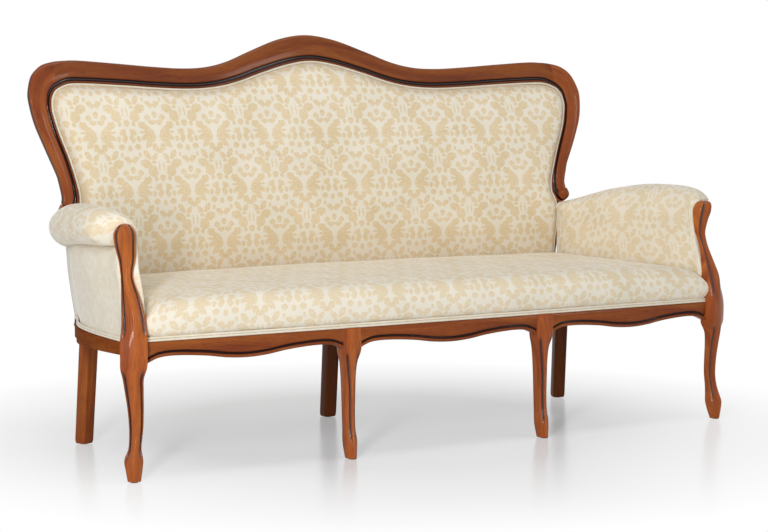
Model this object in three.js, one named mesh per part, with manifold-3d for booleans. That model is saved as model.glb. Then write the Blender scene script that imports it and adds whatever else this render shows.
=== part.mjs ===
// Show-wood settee for three: walnut frame with cabriole legs, shaped crest and rolled, padded arms.
// Millimetres, +Z up, the front faces -Y, +X is on the right for somebody who looks at the front.
import * as THREE from 'three';
import { mergeVertices } from 'three/addons/utils/BufferGeometryUtils.js';
import Module from 'manifold-3d';

const wasm = await Module();
wasm.setup();

// Driving sizes of the whole settee
const postSpread = 890;
const seatDepth = 530;
const railTop = 328;
const postHeight = 605;
const scrollHeight = 588;
const crestHeight = 1065;
const backHalfWidth = 881;

// Gaps and small steps shared by many pieces
const fit = 0.3;
const coverGapDepth = 1.2;
const weldTolerance = 0.0005;

// Front rails and legs
const frontBowDepth = 12;
const frontRailThickness = 26;
const apronDepth = 51;
const beadHeight = 13;
const beadStepDepth = 3;
const postTurn = 25;
const postHalfWidth = 32;
const postDepth = 48;
const legHalfWidth = 25.5;
const legDepth = 38;
const glideHeight = 2;
const glideRadius = 9;
const glideSides = 12;

// Back frame
const backBehindSeatDepth = 31.5;
const backSetback = seatDepth + backBehindSeatDepth;
const backHollowDepth = 90;
const backLeanDepth = 61;
const backSweepDepth = 95;
const backUnbowDepth = 28;
const backSweepBaseHeight = 450;
const backSweepHeight = 500;
const frameThickness = 36;
const stileInsetWidth = 104;
const stileOuter = backHalfWidth - stileInsetWidth;
const stileTaperWidth = 18;
const stileFlareWidth = 12;
const stileFlareLowHeight = 430;
const stileFlareTopHeight = 500;
const stileWidth = 38;
const stileFootHeight = 288;

// Seat frame behind the front rails
const sideRailThickness = 24;
const sideRailFrontDepth = 30;
const sideRailRearDepth = 48;
const rearRailAheadDepth = 12.5;
const rearRailFront = backSetback - rearRailAheadDepth;
const rearRailBowDepth = 48;
const rearRailDepth = 46;
const rearLegInsetWidth = 19;
const rearLegSpread = stileOuter - rearLegInsetWidth;
const rearLegAheadDepth = 32.5;
const rearLegPlace = backSetback - rearLegAheadDepth;
const middleLegBehindDepth = 15.5;
const middleLegPlace = backSetback + middleLegBehindDepth;
const rearLegRakeDepth = 27;
const rearLegSplayWidth = 8;
const rearLegHeadWidth = 34;
const rearLegFootWidth = 28;
const rearLegTurn = 20;
const braceWidth = 28;
const braceDepth = 26;
const blockLength = 90;
const blockDepth = 26;

// Upholstery
const seatHeight = 109;
const seatDipShare = 0.35;
const seatDipPower = 8;
const webThickness = 2;
const webWidth = 55;
const webLapShare = 0.6;
const backPadThickness = 22;
const backTuckHeight = 345;
const armTopHeight = 643;
const armThickness = 22;
const armPadFootHeight = 335;
const armPadRearFootHeight = 410;
const armBehindDepth = 13.5;
const armRearEnd = backSetback + armBehindDepth;
const armFrontDepth = 45;
const panelLeanWidth = 19;
const panelSwellThickness = 3;
const armRailWidth = 26;
const armRailDepth = 34;
const padEdgeRadius = 6;
const rollHalfWidth = 56;
const panelThickness = 5;
const weltRadius = 2.6;
const weltSides = 8;
const coverThickness = 5;
const dustThickness = 1.5;

// Hardware
const dowelRadius = 5;
const dowelLength = 64;
const boltRadius = 4;
const boltHeadRadius = 9;
const boltHeadHeight = 4;
const boltLength = 56;
const boltPlaceShare = 0.62;
const roundSides = 12;

// How many steps the curved pieces are built up in
const steps = { crest: 28, stile: 16, bay: 16, rail: 14, upright: 7, welt: 22 };

const show = { color: 0x8a4622, roughness: 0.3, metalness: 0 };
const beech = { color: 0xc9a477, roughness: 0.7, metalness: 0 };
const fabric = { color: 0xeadfc4, roughness: 0.75, metalness: 0 };
const web = { color: 0x9a8462, roughness: 0.9, metalness: 0 };
const dust = { color: 0x202020, roughness: 0.95, metalness: 0 };
const steel = { color: 0xb4b4b0, roughness: 0.35, metalness: 1 };
const plastic = { color: 0x4a3020, roughness: 0.5, metalness: 0 };

const settee = new THREE.Group();
settee.name = 'settee';
const body = new THREE.Group();
settee.add(body);

function add(name, geometry, finish) {
  const mesh = new THREE.Mesh(geometry, new THREE.MeshStandardMaterial(finish));
  mesh.name = name;
  body.add(mesh);
}

// Turns every triangle round when the closed surface has its faces pointing in
function facingOut(geometry) {
  const p = geometry.attributes.position;
  const index = geometry.index.array;
  const corner = [new THREE.Vector3(), new THREE.Vector3(), new THREE.Vector3()];
  let volume = 0;
  for (let i = 0; i < index.length; i += 3) {
    corner.forEach((c, k) => c.fromBufferAttribute(p, index[i + k]));
    volume += corner[0].dot(corner[1].cross(corner[2]));
  }
  if (volume < 0) {
    for (let i = 0; i < index.length; i += 3) {
      [index[i + 1], index[i + 2]] = [index[i + 2], index[i + 1]];
    }
  }
  return geometry;
}

// Triangles that close a ring, seen along the axis the ring faces most
function capOf(ring, first, along) {
  const normal = new THREE.Vector3();
  ring.forEach((p, i) => normal.add(p.clone().cross(ring[(i + 1) % ring.length])));
  const size = [Math.abs(normal.x), Math.abs(normal.y), Math.abs(normal.z)];
  const drop = size.indexOf(Math.max(...size));
  const keys = ['x', 'y', 'z'].filter((key, i) => i !== drop);
  const flat = ring.map((p) => new THREE.Vector2(p[keys[0]], p[keys[1]]));
  const turn = Math.sign(THREE.ShapeUtils.area(flat)) * (along ? 1 : -1);
  return THREE.ShapeUtils.triangulateShape(flat, []).flatMap((face) => {
    const [a, b, c] = face.map((i) => flat[i]);
    const keep = Math.sign(THREE.ShapeUtils.area([a, b, c])) === turn;
    return (keep ? face : [face[0], face[2], face[1]]).map((i) => i + first);
  });
}

// A closed skin over rings that all have as many points; round ends are closed from their middle
function loft(rings, roundEnds = false) {
  const count = rings[0].length;
  const index = [];
  for (let i = 0; i + 1 < rings.length; i += 1) {
    for (let j = 0; j < count; j += 1) {
      const a = i * count + j;
      const b = i * count + ((j + 1) % count);
      index.push(a, b, b + count, a, b + count, a + count);
    }
  }
  const points = rings.flat();
  const last = (rings.length - 1) * count;
  if (roundEnds) {
    [[0, 1], [last, 0]].forEach(([first, turned]) => {
      const ring = points.slice(first, first + count);
      const middle = ring.reduce((sum, p) => sum.add(p), new THREE.Vector3()).divideScalar(count);
      ring.forEach((p, j) => {
        const pair = [first + j, first + ((j + 1) % count)];
        index.push(pair[turned], pair[1 - turned], points.length);
      });
      points.push(middle);
    });
  } else {
    index.push(...capOf(rings[0], 0, false), ...capOf(rings.at(-1), last, true));
  }
  const geometry = new THREE.BufferGeometry();
  const places = points.flatMap((p) => [p.x, p.y, p.z]);
  geometry.setAttribute('position', new THREE.Float32BufferAttribute(places, 3));
  geometry.setIndex(index);
  return facingOut(geometry);
}

function mirrored(geometry) {
  const copy = geometry.clone();
  copy.applyMatrix4(new THREE.Matrix4().makeScale(-1, 1, 1));
  return facingOut(copy);
}

function solidOf(geometry) {
  const bare = geometry.clone();
  bare.deleteAttribute('normal');
  bare.deleteAttribute('uv');
  const merged = mergeVertices(bare, weldTolerance);
  return new wasm.Manifold(new wasm.Mesh({
    numProp: 3,
    vertProperties: new Float32Array(merged.attributes.position.array),
    triVerts: new Uint32Array(merged.index.array),
  }));
}

function geometryOf(solid) {
  const mesh = solid.getMesh();
  const geometry = new THREE.BufferGeometry();
  geometry.setAttribute('position', new THREE.Float32BufferAttribute(mesh.vertProperties, 3));
  geometry.setIndex(Array.from(mesh.triVerts));
  return geometry;
}

function cut(geometry, ...cutters) {
  return geometryOf(cutters.reduce((solid, cutter) => solid.subtract(solidOf(cutter)), solidOf(geometry)));
}

function join(...geometries) {
  return geometryOf(geometries.map(solidOf).reduce((a, b) => a.add(b)));
}

// Straight interpolation in a table of rows whose first entry is the place
function between(rows, place, column) {
  const next = rows.findIndex((row) => row[0] >= place);
  if (next <= 0) return rows.at(next)[column];
  const [low, high] = [rows[next - 1], rows[next]];
  const share = (place - low[0]) / (high[0] - low[0]);
  return THREE.MathUtils.lerp(low[column], high[column], share);
}

// A smooth curve through table rows, read at a place along their first column
function smooth(rows, place, column) {
  const points = rows.map((row) => new THREE.Vector3(row[0], row[column], 0));
  const last = points.length - 1;
  const at = THREE.MathUtils.clamp(place, points[0].x, points[last].x);
  const step = Math.min(last - 1, points.findLastIndex((p) => p.x <= at));
  const [a, b] = [points[step], points[step + 1]];
  const slope = (i) => {
    const [p, q] = [points[Math.max(i - 1, 0)], points[Math.min(i + 1, last)]];
    return (q.y - p.y) / (q.x - p.x);
  };
  const run = b.x - a.x;
  const t = (at - a.x) / run;
  const rise = t * t * (3 - t - t);
  const ease = run * t * (1 - t);
  return a.y + (b.y - a.y) * rise + ease * (slope(step) * (1 - t) - slope(step + 1) * t);
}

function stepsBetween(from, to, count) {
  return Array.from({ length: count + 1 }, (_, i) => THREE.MathUtils.lerp(from, to, i / count));
}

function box(from, to) {
  const [a, b] = [new THREE.Vector3(...from), new THREE.Vector3(...to)];
  const size = b.clone().sub(a);
  const middle = a.add(b).divideScalar(2);
  return new THREE.BoxGeometry(size.x, size.y, size.z).translate(middle.x, middle.y, middle.z);
}

// Front legs: rows of height share, outer, inner, front and back shares of the half width and depth,
// and how deep the face is carved
const postRowShares = [
  [0, 0.53, 0.42, 0.33, 0.1, 1], [0.05, 0.69, 0.56, 0.44, 0.29, 1], [0.083, 0.77, 0.62, 0.46, 0.38, 1],
  [0.126, 0.47, 0.5, 0.21, 0.49, 1], [0.165, 0.38, 0.56, -0.02, 0.58, 1],
  [0.215, 0.38, 0.66, -0.09, 0.61, 1], [0.284, 0.48, 0.7, -0.03, 0.58, 1], [0.354, 0.69, 0.7, 0.12, 0.5, 1],
  [0.405, 0.84, 0.72, 0.28, 0.5, 0.7], [0.443, 1, 0.94, 0.35, 0.62, 0.3], [0.471, 1, 1, 0.37, 0.62, 0.25],
  [0.542, 1, 1, 0.35, 0.62, 0.25], [0.61, 0.88, 0.97, 0.31, 0.62, 0.6], [0.664, 0.88, 0.78, 0.2, 0.67, 1],
  [0.717, 0.88, 0.5, -0.13, 0.77, 1], [0.787, 0.88, 0.03, -0.59, 1.04, 1],
  [0.826, 0.94, 0.06, -0.75, 1.21, 1], [0.856, 1.03, 0.19, -0.8, 1.29, 1],
  [0.909, 1.28, 0.25, -0.75, 1.4, 1], [0.95, 1.39, 0.27, -0.66, 1.44, 1],
  [0.979, 1.28, 0.19, -0.6, 1.42, 1], [0.993, 1.06, 0.03, -0.62, 1.36, 1], [1, 0.75, -0.25, -0.75, 1.17, 1],
];
const middleRowShares = [
  [0, 0.47, 0.47, 0.34, 0.34, 1], [0.09, 0.57, 0.57, 0.38, 0.53, 1], [0.146, 0.61, 0.61, 0.34, 0.58, 1],
  [0.213, 0.53, 0.53, 0.18, 0.66, 1], [0.33, 0.53, 0.53, 0.08, 0.72, 1], [0.5, 0.57, 0.57, 0.13, 0.74, 1],
  [0.646, 0.63, 0.63, 0.21, 0.76, 1], [0.74, 0.71, 0.71, 0.25, 0.78, 0.8], [0.808, 0.9, 0.9, 0.24, 0.9, 0.4],
  [0.854, 1, 1, 0.16, 1, 0.2], [1, 1, 1, 0.08, 1, 0.2],
];
// Cross section of a front leg: shares of the half width, and of the depth behind the front
const legSectionShares = [
  [-1, 1], [0.76, 1], [1, 0.88], [1, 0.35], [0.88, 0.18], [0.68, 0.12], [0.5, 0.17],
  [0, 0], [-0.5, 0.17], [-0.68, 0.12], [-0.88, 0.18], [-1, 0.35],
];

function frontFace(x) {
  return -frontBowDepth * (1 - (x / postSpread) ** 2);
}

// A carved front leg standing at (x, y) with its face turned outwards, widened all round by grow
function frontLeg({ rowShares, height, halfWidth, depth, x, y, turn, grow }) {
  const angle = THREE.MathUtils.degToRad(turn);
  const [across, ahead] = [Math.cos(angle), Math.sin(angle)];
  const rings = rowShares.map(([heightShare, outerShare, innerShare, frontShare, backShare, carve], row) => {
    const outer = outerShare * halfWidth + grow;
    const inner = -innerShare * halfWidth - grow;
    const front = frontShare * depth + grow;
    const back = -backShare * depth - grow;
    const ends = (row === rowShares.length - 1 ? grow : 0) - (row === 0 ? grow : 0);
    const z = Math.max(heightShare * height, glideHeight) + ends;
    return legSectionShares.map(([wide, deep]) => {
      const a = (outer + inner) / 2 + (wide * (outer - inner)) / 2;
      const d = front - deep * (deep < 0.5 ? carve : 1) * (front - back);
      return new THREE.Vector3(x + a * across + d * ahead, y + a * ahead - d * across, z);
    });
  });
  return loft(rings);
}

const middleSpread = postSpread / 3;

function cornerPost(grow) {
  return frontLeg({
    rowShares: postRowShares, height: postHeight, halfWidth: postHalfWidth, depth: postDepth,
    x: postSpread, y: 0, turn: postTurn, grow,
  });
}

function middleLeg(grow) {
  return frontLeg({
    rowShares: middleRowShares, height: railTop, halfWidth: legHalfWidth, depth: legDepth,
    x: middleSpread, y: frontFace(middleSpread), turn: 0, grow,
  });
}

// Lower edge of one front rail: place along the bay, depth of the rail, as shares
const apronEdgeShares = [
  [0, 1.15], [0.03, 1.05], [0.06, 0.88], [0.11, 0.73], [0.19, 0.7], [0.3, 0.79], [0.4, 0.94], [0.5, 1],
  [0.6, 0.94], [0.7, 0.79], [0.81, 0.7], [0.89, 0.73], [0.94, 0.88], [0.97, 1.05], [1, 1.15],
];

// Front rail from one leg to the next; the carved edge ends at the far leg's side
function frontRail(from, to, edgeEnd) {
  return loft(Array.from({ length: steps.bay + 1 }, (_, i) => {
    const x = THREE.MathUtils.lerp(from, to, i / steps.bay);
    const face = frontFace(x);
    const low = railTop - apronDepth * smooth(apronEdgeShares, (x - from) / (edgeEnd - from), 1);
    const back = face + frontRailThickness;
    const profile = [
      [back, railTop], [face, railTop], [face, low + beadHeight],
      [face + beadStepDepth, low + beadHeight - beadStepDepth], [face, low + beadHeight / 2],
      [face, low + beadStepDepth], [face + beadStepDepth, low], [back, low],
    ];
    return profile.map(([y, z]) => new THREE.Vector3(x, y, z));
  }));
}

// Outer line of the side rail in plan: place along the depth, distance from the centre plane, as shares
const sideLineShares = [
  [0, 1.014], [0.075, 1.018], [0.26, 1.012], [0.43, 1.002], [0.58, 0.988], [0.69, 0.972],
  [0.78, 0.953], [0.86, 0.931], [0.94, 0.91], [1.02, 0.893], [1.07, 0.881], [1.14, 0.868],
];

function sideLine(y) {
  return postSpread * smooth(sideLineShares, y / seatDepth, 1);
}

// Depths at which the curved sides are built up
const sideStepShares = [
  0.01, 0.075, 0.17, 0.26, 0.35, 0.43, 0.51, 0.58, 0.64, 0.69, 0.74, 0.78, 0.82, 0.86, 0.9, 0.94, 0.98, 1.02,
  1.07,
];

function sideRail(grow) {
  const rings = sideStepShares.map((share) => {
    const y = share * seatDepth;
    const outer = sideLine(y);
    const low = railTop - THREE.MathUtils.lerp(sideRailFrontDepth, sideRailRearDepth, share);
    const inner = outer - sideRailThickness;
    const profile = [
      [outer + grow, low - grow], [outer + grow, railTop + grow], [inner - grow, railTop + grow],
      [inner - grow, low - grow],
    ];
    return profile.map(([x, z]) => new THREE.Vector3(x, y, z));
  });
  return loft(rings);
}

// Front surface of the back: hollow in plan, leaning and swept in height, upright below the sweep
function backFace(x, z) {
  const bow = 1 - (x / backHalfWidth) ** 2;
  const up = Math.max((z - backSweepBaseHeight) / backSweepHeight, 0);
  const sweep = backLeanDepth * up - backSweepDepth * up * (1 - up);
  return backSetback + backHollowDepth * bow + sweep - backUnbowDepth * up * bow;
}

function rearRailFace(x) {
  return rearRailFront + rearRailBowDepth * (1 - (x / rearLegSpread) ** 2);
}

function rearLeg(spread, place, splay, turn, grow) {
  const levels = [
    [glideHeight - grow, rearLegFootWidth, 1], [railTop - fit + grow, rearLegHeadWidth, 0],
  ];
  const angle = THREE.MathUtils.degToRad(turn);
  const chamferShare = 0.86;
  const corners = [
    [-1, -chamferShare], [-chamferShare, -1], [chamferShare, -1], [1, -chamferShare],
    [1, chamferShare], [chamferShare, 1], [-chamferShare, 1], [-1, chamferShare],
  ];
  return loft(levels.map(([z, size, down]) => corners.map(([a, b]) => {
    const half = size / 2 + grow;
    const x = spread + splay * down + half * (a * Math.cos(angle) - b * Math.sin(angle));
    const y = place + rearLegRakeDepth * down + half * (a * Math.sin(angle) + b * Math.cos(angle));
    return new THREE.Vector3(x, y, z);
  })));
}

function cornerLeg(grow) {
  return rearLeg(rearLegSpread, rearLegPlace, rearLegSplayWidth, rearLegTurn, grow);
}

function centreLeg(grow) {
  return rearLeg(0, middleLegPlace, 0, 0, grow);
}

function rearRail(cutters) {
  const half = rearLegSpread + rearLegHeadWidth / 2;
  const rings = Array.from({ length: steps.rail + 1 }, (_, i) => {
    const x = THREE.MathUtils.lerp(-half, half, i / steps.rail);
    const [front, back] = [rearRailFace(x), backFace(x, backSweepBaseHeight) - fit];
    const low = railTop - rearRailDepth;
    const profile = [[front, railTop], [back, railTop], [back, low], [front, low]];
    return profile.map(([y, z]) => new THREE.Vector3(x, y, z));
  });
  return cut(loft(rings), ...cutters);
}

function braceBody() {
  const [x, half] = [middleSpread, braceWidth / 2];
  const front = frontFace(x) + legDepth + fit;
  const levels = [railTop - fit, railTop - braceDepth];
  return loft(levels.map((z) => [
    new THREE.Vector3(x - half, front, z), new THREE.Vector3(x + half, front, z),
    new THREE.Vector3(x + half, rearRailFace(x + half) - fit, z),
    new THREE.Vector3(x - half, rearRailFace(x - half) - fit, z),
  ]));
}

// Triangular block glued into a front corner behind the post
function cornerBlock() {
  const inner = sideLine(blockLength) - sideRailThickness - fit;
  const front = frontRailThickness + fit;
  const levels = [railTop - fit, railTop - blockDepth];
  return loft(levels.map((z) => [
    new THREE.Vector3(inner - blockLength, front, z), new THREE.Vector3(inner, front, z),
    new THREE.Vector3(inner, blockLength, z), new THREE.Vector3(inner - braceWidth, blockLength, z),
  ]));
}

// Frame outlines, from the middle of the crest to the end of the scroll: shares of the half width,
// and of the height from the scroll to the top
const outerLineShares = [
  [0, 1], [0.102, 0.973], [0.212, 0.904], [0.301, 0.843], [0.38, 0.811], [0.465, 0.803], [0.568, 0.812],
  [0.692, 0.829], [0.817, 0.844], [0.868, 0.843], [0.908, 0.836], [0.948, 0.816], [0.978, 0.771],
  [0.995, 0.7], [1, 0.633], [0.989, 0.507], [0.96, 0.361], [0.928, 0.214], [0.919, 0.13],
  [0.925, 0.05], [0.93, 0.008],
];
const innerLineShares = [
  [0, 0.85], [0.085, 0.83], [0.187, 0.78], [0.272, 0.732], [0.352, 0.702], [0.448, 0.69], [0.556, 0.696],
  [0.681, 0.71], [0.808, 0.721], [0.868, 0.719], [0.908, 0.692], [0.922, 0.667], [0.93, 0.639],
  [0.934, 0.587], [0.931, 0.545], [0.918, 0.451], [0.89, 0.308], [0.868, 0.168], [0.862, 0.101],
  [0.865, 0.042], [0.88, 0],
];
const jointStep = 10;
const lineSpan = crestHeight - scrollHeight;

function lineCurve(lineShares) {
  const half = lineShares.map(([wide, high]) => (
    new THREE.Vector3(wide * backHalfWidth, 0, scrollHeight + high * lineSpan)));
  const other = half.slice(1).reverse().map((p) => new THREE.Vector3(-p.x, 0, p.z));
  return new THREE.CatmullRomCurve3([...other, ...half]);
}

const outerCurve = lineCurve(outerLineShares);
const innerCurve = lineCurve(innerLineShares);
const halfSteps = outerLineShares.length - 1;

// Section of the frame: share of the way from the inner to the outer edge, and depth behind the face
const beadRadius = 3;
const frameSection = [
  [0, frameThickness], [0, beadRadius], [0.07, 0], [0.14, beadRadius / 2], [0.2, beadRadius * 2],
  [0.28, beadRadius], [0.5, 0], [0.86, 0], [0.97, beadRadius], [1, beadRadius * 3],
  [1, frameThickness - beadRadius], [0.95, frameThickness],
];

// Steps along the frame: the crest rail from joint to joint, the stile from its joint to the scroll's end
const jointShare = (1 + jointStep / halfSteps) / 2;
const jointSlack = fit / outerCurve.getLength();
const crestShares = stepsBetween(1 - jointShare, jointShare, steps.crest);
const stileShares = stepsBetween(jointShare + jointSlack, 1, steps.stile);
const besideShares = stileShares.slice(1);
const frameShares = [...besideShares.map((t) => 1 - t).reverse(), ...crestShares, ...besideShares];

function frameRun(runShares) {
  return loft(runShares.map((t) => {
    const [inner, outer] = [innerCurve.getPoint(t), outerCurve.getPoint(t)];
    return frameSection.map(([across, deep]) => {
      const p = inner.clone().lerp(outer, across);
      return new THREE.Vector3(p.x, backFace(p.x, p.z) + deep, p.z);
    });
  }));
}

function dowel(grow) {
  const joint = innerCurve.getPoint(jointShare).lerp(outerCurve.getPoint(jointShare), 0.5);
  const radius = dowelRadius + grow;
  const shape = new THREE.CylinderGeometry(radius, radius, dowelLength + grow * 2, roundSides);
  shape.rotateZ(Math.PI / 2);
  return shape.translate(joint.x, backFace(joint.x, joint.z) + frameThickness / 2, joint.z);
}

function crestRail() {
  return cut(frameRun(crestShares), dowel(fit), mirrored(dowel(fit)));
}

// A tall piece with a four-sided section that follows the face of the back; it flares to the outside
// with its height, and is narrower at the rear by the taper
function upright({ left, right, flare, taper, low, high, front, back }) {
  return loft(stepsBetween(low, high, steps.upright).map((z) => {
    const outer = right + flare * THREE.MathUtils.smoothstep(z, stileFlareLowHeight, stileFlareTopHeight);
    const at = (x, deep) => new THREE.Vector3(x, backFace(x, z) + deep, z);
    return [at(left, front), at(outer, front), at(outer - taper, back), at(left, back)];
  }));
}

function stileTail() {
  return upright({
    left: stileOuter - stileWidth, right: stileOuter, flare: stileFlareWidth, taper: stileTaperWidth,
    low: stileFootHeight, high: scrollHeight + stileWidth, front: 0, back: frameThickness,
  });
}

// Bolt from behind the stile's tail into the rear rail, its head let into the tail
function stileBolt(grow) {
  const [x, z] = [stileOuter - stileWidth * boltPlaceShare, railTop - rearRailDepth / 2];
  const headFace = backFace(x, z) + frameThickness - fit + grow;
  const [radius, headRadius] = [boltRadius + grow, boltHeadRadius + grow];
  const shank = new THREE.CylinderGeometry(radius, radius, boltLength + grow, roundSides);
  shank.translate(0, -(boltLength + grow) / 2, 0);
  const head = new THREE.CylinderGeometry(headRadius, headRadius, boltHeadHeight + grow, roundSides);
  head.translate(0, -(boltHeadHeight + grow) / 2, 0);
  return join(shank, head).translate(x, headFace, z);
}

function stile() {
  return cut(join(frameRun(stileShares), stileTail()), dowel(fit), stileBolt(fit));
}

function lowerBackRail() {
  const half = stileOuter - stileWidth - fit;
  return loft(Array.from({ length: steps.rail + 1 }, (_, i) => {
    const x = THREE.MathUtils.lerp(-half, half, i / steps.rail);
    const at = (deep, z) => new THREE.Vector3(x, backFace(x, z) + deep, z);
    const [low, high] = [backTuckHeight, backTuckHeight + rearRailDepth];
    const back = frameThickness - coverGapDepth;
    return [at(0, low), at(back, low), at(back, high), at(0, high)];
  }));
}

// Hidden upright between the lower back rail and the crest
function backUpright() {
  const half = braceWidth / 2;
  const crest = crestShares.map((t) => innerCurve.getPoint(t));
  const nearest = crest.filter((p) => Math.abs(p.x - middleSpread) < braceWidth * 2);
  const high = Math.min(...nearest.map((p) => p.z)) - fit;
  return upright({
    left: middleSpread - half, right: middleSpread + half, flare: 0, taper: 0,
    low: backTuckHeight + rearRailDepth + fit, high,
    front: coverGapDepth, back: frameThickness - coverGapDepth,
  });
}

// Arm, from the post to the stile: place, then shares of the top height for top and underside of the
// roll, of the post spread for its middle and the inner face, of its half width, lean and thickness
const armRowShares = [
  [0, 0.927, 0.865, 1.017, 0.946, 0.71, -0.3, 1], [0.039, 0.942, 0.858, 1.017, 0.9455, 0.82, -0.25, 1],
  [0.078, 0.972, 0.855, 1.017, 0.944, 0.89, -0.2, 1], [0.16, 0.994, 0.852, 1.015, 0.937, 0.95, 0.1, 1],
  [0.3, 1, 0.848, 1.009, 0.928, 0.98, 0.6, 1], [0.5, 0.998, 0.837, 0.9955, 0.912, 1, 1, 1],
  [0.66, 0.986, 0.824, 0.975, 0.898, 0.96, 1, 0.95], [0.753, 0.969, 0.815, 0.958, 0.89, 0.86, 1, 0.85],
  [0.846, 0.949, 0.812, 0.938, 0.882, 0.71, 1, 0.65], [0.93, 0.924, 0.816, 0.916, 0.8765, 0.54, 1, 0.4],
  [1, 0.9, 0.83, 0.899, 0.872, 0.3, 1, 0.15],
];

function armAt(share) {
  const [top, under, middle, inner, half, lean, thick] = armRowShares[0].slice(1).map((_, i) => (
    smooth(armRowShares, share, i + 1)));
  return {
    top: top * armTopHeight, under: under * armTopHeight,
    middle: middle * postSpread, inner: inner * postSpread,
    half: half * rollHalfWidth, lean: lean * panelLeanWidth, thick: thick * armThickness,
  };
}

const insideShare = 0.72;

// Depth of a plane inside the post, level with (x, z)
function insidePost(x, z) {
  const share = z / postHeight;
  const [front, back] = [between(postRowShares, share, 3), -between(postRowShares, share, 4)];
  const turn = THREE.MathUtils.degToRad(postTurn);
  const deep = -postDepth * THREE.MathUtils.lerp(front, back, insideShare);
  return (x - postSpread) * Math.tan(turn) + deep / Math.cos(turn);
}

function armPlace(x, z, share) {
  return THREE.MathUtils.lerp(insidePost(x, Math.min(z, postHeight)), armRearEnd, share);
}

// Inner face of the arm below the roll: height share between the pad's foot and the roll, outward share
const innerFaceShares = [[0.9, 0.4], [0.72, 0.12], [0.45, 0], [0, 0]];
const rollAngles = [-130, -90, -50, -10, 25, 60, 92, 125, 160];

function armPad(cutters) {
  const rings = armRowShares.map(([share]) => {
    const arm = armAt(share);
    const [centre, rise] = [(arm.top + arm.under) / 2, (arm.top - arm.under) / 2];
    const foot = THREE.MathUtils.lerp(armPadFootHeight, armPadRearFootHeight, share);
    const roll = rollAngles.map((degrees) => {
      const angle = THREE.MathUtils.degToRad(degrees);
      return [arm.middle + arm.half * Math.cos(angle), centre + rise * Math.sin(angle)];
    });
    const face = innerFaceShares.map(([high, out]) => [
      THREE.MathUtils.lerp(arm.inner, arm.middle - arm.half, out),
      THREE.MathUtils.lerp(foot, centre, high),
    ]);
    const lining = face.slice(1).reverse().map(([x, z]) => [x + arm.thick, z]);
    return [...roll, ...face, ...lining].map(([x, z]) => new THREE.Vector3(x, armPlace(x, z, share), z));
  });
  return cut(loft(rings), ...cutters);
}

function panelFace(share, high) {
  const arm = armAt(share);
  const y = THREE.MathUtils.lerp(armFrontDepth, armRearEnd, share);
  const swell = panelSwellThickness * 4 * high * (1 - high);
  return sideLine(y) - weltRadius * 2 - fit * 2 + arm.lean * high + swell;
}

function armPanel(cutters) {
  const rings = armRowShares.map(([share]) => {
    const arm = armAt(share);
    const [low, high] = [railTop + fit, arm.under - fit];
    const levels = [0, 0.5, 1].map((up) => [panelFace(share, up), THREE.MathUtils.lerp(low, high, up)]);
    const inside = levels.slice().reverse().map(([x, z]) => [x - panelThickness, z]);
    return [...levels, ...inside].map(([x, z]) => new THREE.Vector3(x, armPlace(x, z, share), z));
  });
  return cut(loft(rings), ...cutters);
}

// Hidden rail that carries the roll, from the post to the front face of the stile
function armRail(grow) {
  return loft(armRowShares.map(([share]) => {
    const arm = armAt(share);
    const outer = Math.min(panelFace(share, 0.5), panelFace(share, 1)) - panelThickness - fit;
    const inner = Math.max(outer - armRailWidth, arm.inner + arm.thick + fit) - grow;
    const [high, low] = [arm.under - fit + grow, arm.under - armRailDepth - grow];
    const ring = [[inner, low], [outer + grow, low], [outer + grow, high], [inner, high]];
    return ring.map(([x, z]) => {
      const y = share < 1 ? armPlace(x, z, share) : backFace(x, z) - fit;
      return new THREE.Vector3(x, y, z);
    });
  }));
}

// A round cord laid through a list of points, square to the axis named by its two other keys
function cord(points, radius, keys) {
  return loft(points.map((p) => Array.from({ length: weltSides }, (_, i) => {
    const angle = (i / weltSides) * Math.PI * 2;
    const q = p.clone();
    q[keys[0]] += radius * Math.cos(angle);
    q[keys[1]] += radius * Math.sin(angle);
    return q;
  })));
}

// Cord sewn along the pad's front edge, behind the inner back corner of the post
function armWelt(grow) {
  const turn = THREE.MathUtils.degToRad(postTurn);
  const heightShares = [0.664, 0.717, 0.787, 0.826, 0.856, 0.909, 0.95];
  return cord(heightShares.map((share, i) => {
    const a = -between(postRowShares, share, 2) * postHalfWidth + weltRadius;
    const d = -between(postRowShares, share, 4) * postDepth - weltRadius * 2;
    const ends = i ? grow : -grow;
    return new THREE.Vector3(
      postSpread + a * Math.cos(turn) + d * Math.sin(turn),
      a * Math.sin(turn) - d * Math.cos(turn),
      share * postHeight + (i === 0 || i === heightShares.length - 1 ? ends : 0),
    );
  }), weltRadius + grow, ['x', 'y']);
}

function sideWelt(cutters) {
  const points = sideStepShares.map((share) => {
    const y = share * seatDepth;
    return new THREE.Vector3(sideLine(y) - weltRadius - fit, y, railTop + fit + weltRadius);
  });
  return cut(cord(points, weltRadius, ['x', 'z']), ...cutters);
}

// Double welt on the front rail: section of two joined cords, as shares of the radius
const doubleWeltShares = [[-0.4, 0], [2.4, 0], [3, 1], [2.2, 2], [1.1, 1.5], [0, 2], [-1, 1]];

function frontWelt(cutters) {
  const rings = Array.from({ length: steps.welt + 1 }, (_, i) => {
    const x = THREE.MathUtils.lerp(-postSpread, postSpread, i / steps.welt);
    return doubleWeltShares.map(([across, up]) => new THREE.Vector3(
      x, frontFace(x) + weltRadius * (2 + across), railTop + fit + weltRadius * up));
  });
  return cut(loft(rings), ...cutters);
}

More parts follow.
